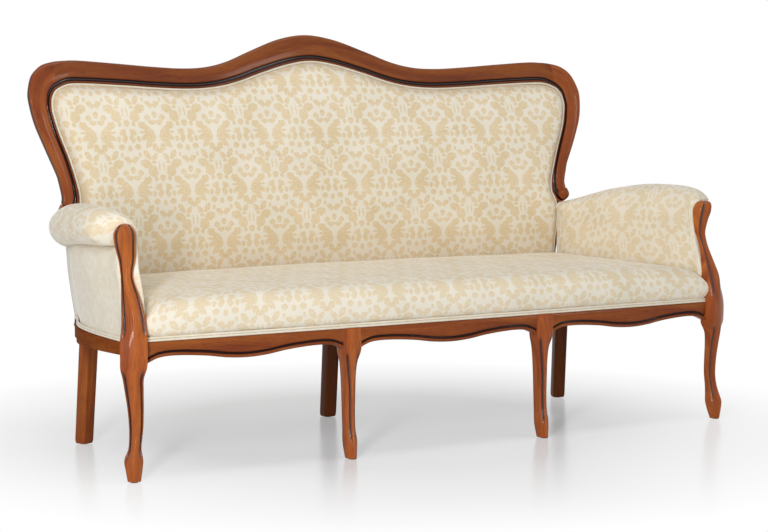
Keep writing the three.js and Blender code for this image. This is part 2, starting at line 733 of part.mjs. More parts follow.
// A crowned pad: the outline is drawn in by an inset, then shrunk towards the centre, and lifted
function crowned(outline, centre, levels, place) {
  const turn = Math.sign(THREE.ShapeUtils.area(outline));
  const count = outline.length;
  const normals = outline.map((p, i) => {
    const along = outline[(i + 1) % count].clone().sub(p).normalize();
    const before = p.clone().sub(outline[(i + count - 1) % count]).normalize();
    const both = along.clone().add(before).normalize();
    return new THREE.Vector2(-both.y, both.x).multiplyScalar(turn / both.dot(along));
  });
  return loft(levels.map(([inset, share, ...depths]) => outline.map((p, i) => {
    const drawn = p.clone().addScaledVector(normals[i], inset);
    return place(drawn.sub(centre).multiplyScalar(share).add(centre), ...depths);
  })), true);
}

// Seat pad: inset in units of the edge, share of the way from the middle, lift as a share of the height
const seatLevelShares = [
  [3.2, 1, 0], [3.2, 1, 0.035], [0.8, 1, 0.055], [0, 1, 0.3], [0.4, 1, 0.58], [2, 1, 0.8], [5, 1, 0.9],
  [10, 1, 0.95], [10, 0.75, 0.985], [10, 0.5, 1], [10, 0.25, 1],
];

function seatOutline() {
  const half = armAt(0).inner - padEdgeRadius / 2;
  const across = Array.from({ length: steps.bay }, (_, i) => i / steps.bay);
  const front = across.map((share) => {
    const x = THREE.MathUtils.lerp(-half, half, share);
    return new THREE.Vector2(x, frontFace(x) - weltRadius * 2);
  });
  const rearLine = (x) => backFace(x, backSweepBaseHeight) - backPadThickness - coverGapDepth;
  const right = across.filter((share, i) => i % 2 === 0).map((share) => {
    const x = armAt(share).inner - padEdgeRadius / 2;
    return new THREE.Vector2(x, THREE.MathUtils.lerp(front[0].y, rearLine(x), share));
  });
  const corner = armAt(1).inner - padEdgeRadius / 2;
  const rear = [...across, 1].map((share) => {
    const x = THREE.MathUtils.lerp(corner, -corner, share);
    return new THREE.Vector2(x, rearLine(x));
  });
  const left = right.slice(1).reverse().map((p) => new THREE.Vector2(-p.x, p.y));
  return [...front, ...right, ...rear, ...left];
}

function seatPad(cutters) {
  const base = railTop + webThickness + fit * 2;
  const levels = seatLevelShares.map(([inset, share, lift]) => [inset * padEdgeRadius, share, lift]);
  const pad = crowned(seatOutline(), new THREE.Vector2(0, seatDepth / 2), levels, (p, lift) => {
    const side = Math.abs(p.x / postSpread) ** seatDipPower;
    const near = 1 - THREE.MathUtils.clamp(p.y / seatDepth, 0, 1);
    return new THREE.Vector3(p.x, p.y, base + seatHeight * lift * (1 - seatDipShare * side * near));
  });
  return cut(pad, ...cutters);
}

// Outline of the back from one scroll over the crest to the other, then down to the foot
function backOutline(curve, low, half) {
  const top = frameShares.map((t) => curve.getPoint(t)).map((p) => new THREE.Vector2(p.x, p.z));
  const sideShares = [0.7, 0.4, 0.1];
  const side = sideShares.map((share) => (
    new THREE.Vector2(half, THREE.MathUtils.lerp(low, scrollHeight, share))));
  const foot = Array.from({ length: steps.rail + 1 }, (_, i) => (
    new THREE.Vector2(THREE.MathUtils.lerp(half, -half, i / steps.rail), low)));
  const other = side.slice().reverse().map((p) => new THREE.Vector2(-p.x, p.y));
  return [...top, ...side, ...foot, ...other];
}

const backMiddle = new THREE.Vector2(0, scrollHeight + (crestHeight - scrollHeight) / 4);

// Back pad and outside back: share of the way from the middle, and of the way through the thickness
const slabLevelShares = [
  [0.2, 0], [0.4, 0], [0.6, 0], [0.8, 0], [1, 0], [1, 1], [0.8, 1], [0.6, 1], [0.4, 1], [0.2, 1],
];

// An even layer on the curved face of the back, its two sides at given depths behind that face
function backLayer(outline, inset, near, far) {
  const levels = slabLevelShares.map(([share, deep]) => (
    [inset, share, THREE.MathUtils.lerp(near, far, deep)]));
  return crowned(outline, backMiddle, levels, (p, deep) => (
    new THREE.Vector3(p.x, backFace(p.x, p.y) + deep, p.y)));
}

function backPad() {
  const outline = backOutline(innerCurve, backTuckHeight, stileOuter - padEdgeRadius);
  return backLayer(outline, fit * 2, -coverGapDepth, -backPadThickness);
}

function outsideBack() {
  const outline = backOutline(outerCurve, stileFootHeight + padEdgeRadius * 2, stileOuter - stileTaperWidth);
  const near = frameThickness + coverGapDepth;
  return backLayer(outline, padEdgeRadius * 2, near, near + coverThickness);
}

// Jute webbing of one bay, straps both ways tacked on top of the rails
function webbing(from, reach, count) {
  const [low, high] = [railTop + fit, railTop + fit + webThickness];
  const crossShares = [0.33, 0.67];
  const along = Array.from({ length: count }, (_, i) => {
    const x = THREE.MathUtils.lerp(from, reach(seatDepth), (i + 0.5) / count);
    const [front, rear] = [frontFace(x) + frontRailThickness * webLapShare, rearRailFace(x) + webWidth / 3];
    return box([x - webWidth / 2, front, low], [x + webWidth / 2, rear, high]);
  });
  const across = crossShares.map((share) => {
    const y = share * seatDepth;
    return box([from, y - webWidth / 2, low], [reach(y + webWidth / 2), y + webWidth / 2, high]);
  });
  return join(...along, ...across);
}

function dustCover(cutters) {
  const back = frontRailThickness + padEdgeRadius;
  const rightShares = [0.08, 0.3, 0.5, 0.7, 0.9];
  const right = rightShares.map((share) => {
    const y = share * seatDepth;
    return new THREE.Vector2(sideLine(y) - sideRailThickness - padEdgeRadius / 2, y);
  });
  const rear = Array.from({ length: steps.rail + 1 }, (_, i) => {
    const x = THREE.MathUtils.lerp(rearLegSpread, -rearLegSpread, i / steps.rail);
    return new THREE.Vector2(x, rearRailFace(x) - fit);
  });
  const left = right.slice().reverse().map((p) => new THREE.Vector2(-p.x, p.y));
  const corner = right[0].x - blockLength / 2;
  const front = [new THREE.Vector2(-corner, back), new THREE.Vector2(corner, back)];
  const outline = [...front, ...right, ...rear, ...left];
  const high = railTop - braceDepth - fit;
  const rings = [high, high - dustThickness].map((z) => outline.map((p) => new THREE.Vector3(p.x, p.y, z)));
  return cut(loft(rings), ...cutters);
}

function glide(x, y) {
  const height = glideHeight - fit;
  const disc = new THREE.CylinderGeometry(glideRadius, glideRadius, height, glideSides);
  disc.rotateX(Math.PI / 2);
  return disc.translate(x, y, height / 2);
}

function postFoot() {
  const [, outer, inner, front, back] = postRowShares[0];
  const turn = THREE.MathUtils.degToRad(postTurn);
  const [a, d] = [((outer - inner) / 2) * postHalfWidth, ((front - back) / 2) * postDepth];
  return [postSpread + a * Math.cos(turn) + d * Math.sin(turn), a * Math.sin(turn) - d * Math.cos(turn)];
}

// Adds the right-hand piece and its mirror image
function addPair(name, geometry, finish) {
  add(`${name}_right`, geometry, finish);
  add(`${name}_left`, mirrored(geometry), finish);
}

const bothOf = (geometry) => [geometry, mirrored(geometry)];
const posts = bothOf(cornerPost(fit));
const sides = bothOf(sideRail(fit));
const rearCorners = bothOf(cornerLeg(fit));
const bolts = bothOf(stileBolt(fit));

addPair('front_post', cornerPost(0), show);
addPair('front_leg', middleLeg(0), show);
const legSide = legHalfWidth + fit;
const centreBay = middleSpread - legSide;
add('front_rail_centre', frontRail(-centreBay, centreBay, centreBay), show);
const outerBay = frontRail(middleSpread + legSide, postSpread, postSpread - postHalfWidth);
addPair('front_rail', cut(outerBay, posts[0]), show);
addPair('side_rail', cut(sideRail(0), posts[0], rearCorners[0]), show);
add('rear_rail', rearRail([...sides, ...rearCorners, centreLeg(fit), ...bolts]), show);
addPair('rear_leg', cornerLeg(0), show);
add('rear_leg_middle', centreLeg(0), show);
addPair('seat_brace', braceBody(), beech);
addPair('corner_block', cut(cornerBlock(), posts[0]), beech);

add('crest_rail', crestRail(), show);
addPair('back_stile', stile(), show);
addPair('crest_dowel', dowel(0), beech);
addPair('stile_bolt', stileBolt(0), steel);
add('lower_back_rail', lowerBackRail(), beech);
addPair('back_upright', backUpright(), beech);
addPair('arm_rail', cut(armRail(0), posts[0]), beech);

add('webbing_centre', webbing(-middleSpread + fit, () => middleSpread - fit, 3), web);
addPair('webbing', webbing(middleSpread + fit, (y) => sideLine(y) - padEdgeRadius * 3, 3), web);
add('dust_cover', dustCover([...posts, ...rearCorners, centreLeg(fit)]), dust);
add('seat_pad', seatPad(posts), fabric);
add('seat_welt', frontWelt(posts), fabric);
add('back_pad', backPad(), fabric);
add('outside_back', outsideBack(), fabric);
addPair('arm_pad', armPad([posts[0], armWelt(fit), armRail(fit * 2)]), fabric);
addPair('arm_panel', armPanel([posts[0]]), fabric);
addPair('arm_welt', armWelt(0), fabric);
addPair('side_welt', sideWelt([posts[0]]), fabric);

addPair('glide_front_corner', glide(...postFoot()), plastic);
addPair('glide_front', glide(middleSpread, frontFace(middleSpread)), plastic);
addPair('glide_rear', glide(rearLegSpread + rearLegSplayWidth, rearLegPlace + rearLegRakeDepth), plastic);
add('glide_rear_middle', glide(0, middleLegPlace + rearLegRakeDepth), plastic);

const extent = new THREE.Box3().setFromObject(body);
body.position.y = -(extent.min.y + extent.max.y) / 2;

export default settee;
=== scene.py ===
import math

import bmesh
import bpy
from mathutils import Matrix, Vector, noise


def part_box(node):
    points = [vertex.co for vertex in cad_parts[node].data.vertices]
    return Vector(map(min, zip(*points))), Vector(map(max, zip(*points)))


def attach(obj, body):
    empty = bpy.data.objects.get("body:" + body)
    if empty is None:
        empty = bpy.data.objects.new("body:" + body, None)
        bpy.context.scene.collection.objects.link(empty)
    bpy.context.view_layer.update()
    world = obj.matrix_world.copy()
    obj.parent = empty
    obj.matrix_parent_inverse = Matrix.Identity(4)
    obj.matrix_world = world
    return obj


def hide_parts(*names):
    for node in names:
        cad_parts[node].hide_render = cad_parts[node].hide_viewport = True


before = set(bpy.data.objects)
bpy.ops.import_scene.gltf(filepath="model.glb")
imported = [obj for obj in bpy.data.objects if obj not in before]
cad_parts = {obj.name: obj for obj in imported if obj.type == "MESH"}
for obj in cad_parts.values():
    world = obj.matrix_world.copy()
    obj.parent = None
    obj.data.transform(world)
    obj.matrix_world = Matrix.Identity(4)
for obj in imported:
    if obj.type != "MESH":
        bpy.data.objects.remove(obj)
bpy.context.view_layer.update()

# CREST RAIL
# Shaped top rail of the back, sawn from solid walnut and moulded along its face: a thin bead next to the
# cover, a stained hollow, then a broad face with a rounded outer edge. Dowelled to the two stiles.
FRONT_BOW = 0.012
POSTS_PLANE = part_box("front_rail_centre")[0].y + FRONT_BOW
BACK_HALF_WIDTH, BACK_PLACE, BACK_HOLLOW, BACK_UNBOW = 0.881, 0.5615, 0.09, 0.028
BACK_LEAN, BACK_SWEEP, SWEEP_FOOT, SWEEP_HEIGHT = 0.061, 0.095, 0.45, 0.5
OUTER_LINE = [
    (0, 1.065), (.0899, 1.0521), (.1868, 1.0192), (.2652, .9901), (.3348, .9748), (.4097, .971),
    (.5004, .9753), (.6097, .9834), (.7198, .9906), (.7647, .9901), (.8, .9868), (.8352, .9772),
    (.8616, .9558), (.8766, .9219), (.881, .8899), (.8713, .8298), (.8445, .7602), (.8146, .6901),
    (.8062, .65), (.8112, .6119), (.8155, .5918)]
INNER_LINE = [
    (0, .9935), (.0749, .9839), (.1647, .9601), (.2396, .9372), (.3101, .9229), (.3947, .9171),
    (.4898, .92), (.6, .9267), (.7118, .9319), (.7647, .931), (.8, .9181), (.8123, .9062), (.8193, .8928),
    (.8229, .868), (.8202, .848), (.8088, .8031), (.7841, .7349), (.7647, .6681), (.7594, .6362),
    (.7621, .608), (.7753, .588)]
JOINT_STEP = 10
STEPS_EACH_SIDE = len(OUTER_LINE) - 1

# Section of the moulding: share of the width, then metres from there, depth behind the face, stain, which
# is polished at 1 and dull at 2
MOULDING = [
    (0, .002, .0355, 0), (0, 0, .033, 0), (0, 0, .005, 0), (0, .0004, .0022, 0), (0, .0014, .0006, 0),
    (0, .0027, .0001, 0), (0, .0038, .0006, 0), (0, .0047, .002, .5), (0, .0056, .0046, 1),
    (0, .0072, .0074, 1), (0, .0094, .0084, 1), (0, .0118, .0076, 1), (0, .0136, .005, 1),
    (0, .0149, .0024, .6), (0, .0164, .0006, .1), (0, .0188, -.0002, 0), (.56, 0, -.001, 0),
    (.74, 0, -.0007, 0), (1, -.0062, .0003, 0), (1, -.0042, .001, 0), (1, -.002, .0024, 0),
    (1, -.0007, .0044, 0), (1, -.0002, .0066, 0), (1, -.0018, .008, 1.4), (1, -.0046, .0108, 2),
    (1, -.0072, .0155, 2), (1, -.0079, .021, 2), (1, -.0071, .0248, 1.4), (1, -.0064, .027, 0),
    (1, -.007, .0305, 0), (1, -.0098, .034, 0), (1, -.013, .036, 0), (.5, 0, .036, 0)]


def back_face(x, z):
    """Depth of the hollow, leaning face of the back behind the posts, as in the solids."""
    bow = 1 - (x / BACK_HALF_WIDTH) ** 2
    up = max((z - SWEEP_FOOT) / SWEEP_HEIGHT, 0)
    return (BACK_PLACE + BACK_HOLLOW * bow + BACK_LEAN * up - BACK_SWEEP * up * (1 - up)
            - BACK_UNBOW * up * bow)


def on_back(x, z, deep):
    """A point that lies deep behind the face of the back."""
    return Vector((x, POSTS_PLANE + back_face(x, z) + deep, z))


def line_at(points, place):
    """The point at a place, counted in steps from the first, on a smooth line through the points."""
    last = len(points) - 1
    i = min(int(place), last - 1)
    t = place - i
    a, b, c, d = (points[min(max(k, 0), last)] for k in range(i - 1, i + 3))
    return (b + (c - a) * (t / 2) + (a * 2 - b * 5 + c * 4 - d) * (t * t / 2)
            + (b * 3 - a - c * 3 + d) * (t ** 3 / 2))


def both_sides(line):
    right = [Vector(p) for p in line]
    return [Vector((-p.x, p.y)) for p in reversed(right[1:])] + right


def skin(rings, stain_and_shade=None, cut=None, into=None):
    """A closed skin of quads laid on rings of points. The grain, or the cloth's length, runs from ring to
    ring; cut, if given, says where each point of the skin lies on the flat cloth."""
    bm = into or bmesh.new()
    along, across = len(rings) - 1, len(rings[0])
    pattern = bm.loops.layers.uv.get("surface") or bm.loops.layers.uv.new("surface")
    shade = bm.verts.layers.float.get("stain_and_shade") or bm.verts.layers.float.new("stain_and_shade")
    sheet = bmesh.ops.create_grid(bm, x_segments=along, y_segments=across, size=0.5)["verts"]
    length, girth = [0.0], []
    for i, ring in enumerate(rings):
        if i:
            length.append(length[-1] + sum((p - q).length for p, q in zip(ring, rings[i - 1])) / across)
        around = [0.0]
        for j in range(across):
            around.append(around[-1] + (ring[(j + 1) % across] - ring[j]).length)
        girth.append(around)
    places = {v: (round((v.co.x + 0.5) * along), round((v.co.y + 0.5) * across)) for v in sheet}
    for face in {f for v in sheet for f in v.link_faces}:
        for corner in face.loops:
            i, j = places[corner.vert]
            corner[pattern].uv = cut(i, j) if cut else (length[i], girth[i][j])
    for v, (i, j) in places.items():
        v.co = rings[i][j % across]
        v[shade] = stain_and_shade(i, j % across) if stain_and_shade else 0.0
    bmesh.ops.remove_doubles(bm, verts=sheet, dist=1e-6)
    open_edges = [e for e in bm.edges if e.is_boundary]
    caps = bmesh.ops.holes_fill(bm, edges=open_edges, sides=0)["faces"]
    for face in caps:
        for corner in face.loops:
            corner[pattern].uv = (corner.vert.co.x + corner.vert.co.z, corner.vert.co.y)
    bmesh.ops.triangulate(bm, faces=caps)
    bmesh.ops.recalc_face_normals(bm, faces=bm.faces)
    return bm


def mirrored(bm):
    """The same piece for the left-hand side, cut from another length of the stuff."""
    other = bm.copy()
    pattern = other.loops.layers.uv["surface"]
    for v in other.verts:
        v.co.x = -v.co.x
    for face in other.faces:
        for corner in face.loops:
            corner[pattern].uv.x += 1.7
    bmesh.ops.reverse_faces(other, faces=other.faces)
    return other


def left_and_right(bm):
    return ("left", mirrored(bm)), ("right", bm)


def piece_of(name, bm, material, crease=50):
    mesh = bpy.data.meshes.new(name)
    bm.to_mesh(mesh)
    bm.free()
    mesh.materials.append(material)
    mesh.polygons.foreach_set("use_smooth", [True] * len(mesh.polygons))
    mesh.set_sharp_from_angle(angle=math.radians(crease))
    piece = bpy.data.objects.new(name, mesh)
    bpy.context.scene.collection.objects.link(piece)
    return piece


def new_material(name):
    material = bpy.data.materials.new(name)
    material.use_nodes = True
    material.node_tree.nodes.clear()
    return material


def node(tree, kind, inputs=(), **settings):
    """A shader node with its settings; an input is a plain value or another node's output."""
    made = tree.nodes.new("ShaderNode" + kind)
    for key, value in settings.items():
        setattr(made, key, value)
    for key, value in dict(inputs).items():
        if isinstance(value, bpy.types.NodeSocket):
            tree.links.new(value, made.inputs[key])
        else:
            made.inputs[key].default_value = value
    return made


def feed(tree, kind, inputs=(), **settings):
    """The first output of a new node."""
    return node(tree, kind, inputs, **settings).outputs[0]


def ramp(tree, value, stops):
    """Colours placed along a value that runs from 0 to 1."""
    made = node(tree, "ValToRGB", {"Fac": value})
    band = made.color_ramp
    while len(band.elements) < len(stops):
        band.elements.new(0.5)
    for element, (place, colour) in zip(band.elements, stops):
        element.position = place
        element.color = (*colour, 1)
    return made.outputs["Color"]


def polished_walnut(name, tone, coat=0.22, gloss=0.08):
    """Stained, lacquered walnut: long figure, fine pores, dark stain in the hollows, a glossy coat."""
    material = new_material(name)
    tree = material.node_tree
    lay = feed(tree, "UVMap", uv_map="surface")
    long_lay = feed(tree, "Mapping", {"Vector": lay, "Scale": (2.4, 24, 1)})
    figure = feed(tree, "TexNoise", {
        "Vector": long_lay, "Scale": 1.0, "Detail": 5.0, "Roughness": 0.55, "Distortion": 0.7})
    pore_lay = feed(tree, "Mapping", {"Vector": lay, "Scale": (30, 900, 1)})
    pores = feed(tree, "TexNoise", {"Vector": pore_lay, "Scale": 1.0, "Detail": 2.0})
    colour = ramp(tree, figure, [
        (0.28, tuple(c * tone for c in (0.16, 0.028, 0.008))),
        (0.46, tuple(c * tone for c in (0.27, 0.062, 0.012))),
        (0.62, tuple(c * tone for c in (0.36, 0.1, 0.018))),
        (0.8, tuple(c * tone for c in (0.46, 0.15, 0.028)))])
    fleck = ramp(tree, pores, [(0.3, (0.62, 0.56, 0.52)), (0.52, (1, 1, 1))])
    colour = feed(tree, "MixRGB", {"Fac": 1.0, "Color1": colour, "Color2": fleck}, blend_type="MULTIPLY")
    stain_and_shade = node(tree, "Attribute", attribute_name="stain_and_shade").outputs["Fac"]
    colour = feed(tree, "MixRGB", {"Fac": stain_and_shade, "Color1": colour, "Color2": (0.016, 0.004, 0.004, 1)})
    rough = feed(tree, "MapRange", {"Value": figure, "To Min": 0.34, "To Max": 0.48})
    relief = feed(tree, "Bump", {"Height": pores, "Strength": 0.1, "Distance": 0.0003})
    polish = feed(tree, "MapRange", {"Value": stain_and_shade, "To Min": coat, "To Max": 0.9})
    polish = feed(tree, "MapRange", {
        "Value": stain_and_shade, "From Min": 1.0, "From Max": 2.0, "To Min": polish, "To Max": 0.12})
    wood = feed(tree, "BsdfPrincipled", {
        "Base Color": colour, "Roughness": rough, "Normal": relief, "Specular IOR Level": gloss,
        "Coat Weight": polish, "Coat Roughness": 0.09, "Coat IOR": 1.5})
    node(tree, "OutputMaterial", {"Surface": wood})
    return material


outer_points, inner_points = both_sides(OUTER_LINE), both_sides(INNER_LINE)


def moulded_ring(place):
    outer, inner = line_at(outer_points, place), line_at(inner_points, place)
    width = (outer - inner).length
    ring = []
    for share, step, deep, _ in MOULDING:
        p = inner.lerp(outer, share + step / width)
        ring.append(on_back(p.x, p.y, deep))
    return ring


def moulding_stain(_, j):
    return MOULDING[j][3]


def spread(low, high, count):
    return [low + (high - low) * i / count for i in range(count + 1)]


crest_walnut = polished_walnut("walnut_crest", 0.72)
crest_places = spread(STEPS_EACH_SIDE - JOINT_STEP, STEPS_EACH_SIDE + JOINT_STEP, 150)
crest = skin([moulded_ring(p) for p in crest_places], moulding_stain)
crest = piece_of("crest_moulded", crest, crest_walnut)
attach(crest, "root")
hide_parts("crest_rail")

# BACK STILES
# The uprights of the back carry the same moulding from the crest's joint down to a carved scroll with a
# round boss. Below it a plain tail runs on behind the arm to the rear rail, where it is bolted.
TAIL_LEFT, TAIL_MIDDLE, TAIL_RIGHT, TAIL_FLARE, TAIL_TAPER = 0.739, 0.757, 0.777, 0.012, 0.018
# The tail widens outwards, then sinks behind the scroll; each swing with its lowest and highest point
TAIL_SUNK, WIDENS, SINKS = 0.011, (0.43, 0.5), (0.572, 0.584)
TAIL_LOW, TAIL_HIGH, TAIL_DEPTH, TAIL_ROUND = 0.288, 0.61, 0.036, 0.003
BOSS_MIDDLE, BOSS_RADIUS = Vector((0.8, 0.6065)), 0.0096
# The scroll thins out towards its end: up to how deep it keeps the moulding's section, how much thinner it
# gets behind that, how far its rear edge may be drawn in, and how deep its other edge is rounded
SCROLL_DEPTH, SCROLL_THINNER, SCROLL_DRAWN, EDGE_DEPTH = 0.009, 0.7, 0.35, 0.012
# Where the moulding turns round the boss: its cover-side edge, its other edge, how far its hollow moves
# out from the first and how deep it is, and how broadly its other edge is rounded
SCROLL_LINE = [
    (.7647, .6681, .8146, .6901, 1, 1, 1), (.7594, .6362, .8062, .65, 1.05, 1, 1),
    (.7594, .6282, .8053, .6345, 1.12, 1, .9), (.76, .6206, .8064, .6245, 1.2, 1, .5),
    (.7612, .614, .8023, .6161, 1.27, 1, .2), (.7629, .6085, .7957, .6155, 1.33, 1, .2),
    (.7662, .6, .791, .6107, 1.4, 1, .2), (.7702, .592, .7902, .605, 1.42, 1, .2),
    (.7768, .584, .7927, .5998, 1.42, .95, .2), (.785, .5785, .7965, .597, 1.42, .9, .2),
    (.794, .5793, .8012, .5965, 1.3, .8, .2), (.805, .5848, .806, .5985, 1, .7, .2),
    (.8138, .5925, .8091, .603, .75, .45, .2), (.8171, .6015, .8098, .6078, .6, .1, .2),
    (.8149, .6105, .808, .6125, .45, 0, .2), (.809, .621, .8045, .6158, .35, 0, .2)]


def rise(value, low, high):
    """0 below low, 1 above high, and an even swing between."""
    t = min(max((value - low) / (high - low), 0), 1)
    return t * t * (3 - 2 * t)


def between(value, start, full, falls, end):
    """1 from full to falls, and an even swing to 0 at start and end."""
    return rise(value, start, full) * (1 - rise(value, falls, end))


def ray(degrees):
    """A direction in a plane: its parts across and up."""
    turn = math.radians(degrees)
    return Vector((math.cos(turn), math.sin(turn)))


def row_at(rows, place):
    """All the values of a table at a place along its first column, on smooth curves."""
    last = len(rows) - 1
    place = min(max(place, rows[0][0]), rows[last][0])
    i = max(k for k in range(last) if rows[k][0] <= place)
    run = rows[i + 1][0] - rows[i][0]
    t = (place - rows[i][0]) / run
    values = []
    for column in range(1, len(rows[0])):
        slopes = []
        for k in (i, i + 1):
            p, q = rows[max(k - 1, 0)], rows[min(k + 1, last)]
            slopes.append((q[column] - p[column]) / (q[0] - p[0]))
        a, b = rows[i][column], rows[i + 1][column]
        values.append(a + (b - a) * t * t * (3 - 2 * t)
                      + run * t * (1 - t) * (slopes[0] * (1 - t) - slopes[1] * t))
    return values


def scroll_ring(place):
    """The moulding's section at a place of the scroll."""
    row = row_at([(i, *values) for i, values in enumerate(SCROLL_LINE)], place)
    inner, outer = Vector(row[0:2]), Vector(row[2:4])
    shift, hollow, rounding = row[4:]
    width = (outer - inner).length
    thin = 1 - SCROLL_THINNER * rise(place, 4, 9)
    ring = []
    for share, step, deep, stain_and_shade in MOULDING:
        if share == 0:
            step *= shift
            deep *= hollow if stain_and_shade > 0 else 1
        elif share == 1:
            step = max(step, -SCROLL_DRAWN * width)
            if deep < EDGE_DEPTH:
                step *= rounding
                deep *= 0.4 + 0.6 * rounding if rounding <= 0.9 else 1
        p = inner.lerp(outer, share + step / width)
        ring.append(on_back(p.x, p.y, min(deep, SCROLL_DEPTH) + max(deep - SCROLL_DEPTH, 0) * thin))
    return ring


def boss():
    rings = []
    for share, deep in ((1, .02), (1, .0035), (.97, .0015), (.9, .0002), (.78, -.0009), (.6, -.0017),
                        (.4, -.0022), (.2, -.0025), (.03, -.0026)):
        edge = [BOSS_MIDDLE + ray(turn) * share * BOSS_RADIUS for turn in spread(0, 360, 32)[:-1]]
        rings.append([on_back(p.x, p.y, deep) for p in edge])
    return rings


def rounded_ring(left, right, front, back, radius, lift, place):
    """A four-sided section with rounded corners, each corner point put in its place by place(x, y, z)."""
    ring = []
    for cx, cy, start in ((right, front, -90), (right, back, 0), (left, back, 90), (left, front, 180)):
        x = cx - radius if cx == right else cx + radius
        y = cy + radius if cy == front else cy - radius
        for turn in (0, 30, 60, 90):
            out = ray(start + turn) * radius
            ring.append(place(x + out.x, y + out.y, lift))
    return ring


stile_walnut = polished_walnut("walnut_stile", 1.0)
stile_rings = [moulded_ring(p) for p in spread(STEPS_EACH_SIDE + JOINT_STEP, STEPS_EACH_SIDE * 2 - 3, 80)]
stile_rings += [scroll_ring(p) for p in spread(0, len(SCROLL_LINE) - 1, 110)[1:]]
stile = skin(stile_rings, moulding_stain)
skin(boss(), into=stile)
tail_rings = []
for z in spread(TAIL_LOW, TAIL_HIGH, 30):
    flare = TAIL_FLARE * rise(z, *WIDENS)
    sunk = TAIL_SUNK * rise(z, *SINKS)
    tail_rings.append(rounded_ring(
        TAIL_LEFT, TAIL_RIGHT + flare, sunk, TAIL_DEPTH, TAIL_ROUND, z,
        lambda x, deep, z: on_back(x - TAIL_TAPER * deep / TAIL_DEPTH * (x > TAIL_MIDDLE), z, deep)))
skin(tail_rings, into=stile)
for side, shape in left_and_right(stile):
    piece = piece_of(f"stile_carved_{side}", shape, stile_walnut)
    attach(piece, "root")
    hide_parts(f"back_stile_{side}")

# FRONT LEGS AND ARM POSTS
# The two corner legs run on upwards as the posts of the arms and end in a spoon-shaped head; two plainer
# legs stand between them. Each is carved from one piece, with a fluted face and a faceted toe.
POST_SPREAD, POST_HEIGHT, POST_TURN = 0.89, 0.605, 25
POST_HALF_WIDTH, POST_DEPTH = 0.032, 0.048
RAIL_TOP, LEG_HALF_WIDTH, LEG_DEPTH = 0.328, 0.0255, 0.038
GLIDE = 0.002
FLUTE_DEPTH, FLUTE_WIDTH = 0.0042, 0.115
# Height share, then outer, inner, front and back as shares of the half width and depth, and the carving
POST_ROWS = [
    (0, .53, .42, .33, .1, 1), (.05, .69, .56, .44, .29, 1), (.083, .77, .62, .46, .38, 1),
    (.126, .47, .5, .3, .42, 1), (.165, .4, .56, .17, .43, 1), (.215, .4, .66, .11, .46, 1),
    (.284, .5, .7, .15, .44, 1), (.354, .69, .7, .25, .42, 1), (.405, .84, .72, .33, .46, .7),
    (.443, 1, .94, .35, .62, .3), (.471, 1, 1, .37, .62, .25), (.542, 1, 1, .35, .62, .25),
    (.61, .88, .97, .31, .62, .6), (.664, .88, .78, .2, .67, 1), (.717, .88, .5, -.13, .77, 1),
    (.787, .88, .03, -.59, 1.04, 1), (.826, .94, .06, -.75, 1.21, 1), (.856, 1.03, .19, -.8, 1.29, 1),
    (.909, 1.28, .25, -.68, 1.4, 1), (.95, 1.39, .27, -.5, 1.44, 1), (.965, 1.35, .23, -.47, 1.43, 1),
    (.98, 1.22, .1, -.46, 1.4, 1), (.99, 1.06, -.06, -.5, 1.36, 1), (.996, .9, -.22, -.58, 1.28, 1),
    (1, .68, -.44, -.72, 1.17, 1)]
MIDDLE_ROWS = [
    (0, .5, .5, .34, .46, 1), (.09, .6, .6, .38, .64, 1), (.146, .64, .64, .34, .7, 1),
    (.213, .56, .56, .2, .78, 1), (.33, .56, .56, .12, .84, 1), (.5, .6, .6, .15, .88, 1),
    (.646, .66, .66, .21, .93, 1), (.74, .75, .75, .25, .97, .8), (.808, .92, .92, .24, 1, .4),
    (.854, 1, 1, .16, 1, .2), (1, 1, 1, .08, 1, .2)]
# How far the leg's face falls back from its middle to its side, as a share of its depth
FACE_ROWS = [(0, 0), (.3, .07), (.5, .17), (.68, .26), (.88, .36), (.96, .42), (1, .48)]
BACK_CORNERS = [
    (1, .5), (1, .7), (1, .86), (.93, .95), (.76, 1), (.3, 1), (-.3, 1), (-.8, 1), (-.95, .985), (-1, .93),
    (-1, .7), (-1, .5)]


def front_face(x):
    return -FRONT_BOW * (1 - (x / POST_SPREAD) ** 2)


def carved_leg(rows, height, half_width, depth, place, turn, flute, steps):
    """Sections and stain of a leg; flute(z) gives the depth share and the place of its two flutes."""
    across, ahead = ray(turn)
    wides = [math.sin(math.pi / 2 * i / 26) for i in range(-26, 27)]
    rings, stains = [], []
    for share in steps:
        outer, inner, front, back, carve = row_at(rows, share)
        outer, inner, front, back = outer * half_width, -inner * half_width, front * depth, -back * depth
        z = max(share * height, GLIDE)
        strength, centre = flute(z)
        ring, marks = [], []
        for wide, deep in [(w, None) for w in wides] + BACK_CORNERS:
            groove = 0
            if deep is None:
                deep = row_at(FACE_ROWS, abs(wide))[0] * carve
                groove = strength * math.exp(-((abs(wide) - centre) / FLUTE_WIDTH) ** 2)
            a = (outer + inner) / 2 + wide * (outer - inner) / 2
            d = front - deep * (front - back) - groove * FLUTE_DEPTH
            ring.append(Vector((place[0] + a * across + d * ahead,
                                POSTS_PLANE + place[1] + a * ahead - d * across, z)))
            marks.append(min(groove * 1.1, 1))
        rings.append(ring)
        stains.append(marks)
    return skin(rings, lambda i, j: stains[i][j])


def post_flute(z):
    strength = between(z, 0.04, 0.075, 0.252, 0.268) + between(z, 0.342, 0.358, 0.602, 0.605)
    return strength, 0.76 + 0.05 * between(z, 0.24, 0.265, 0.34, 0.36)


def leg_flute(z):
    return between(z, 0.035, 0.06, 0.255, 0.275), 0.42 + 0.26 * rise(z, 0.16, 0.27)


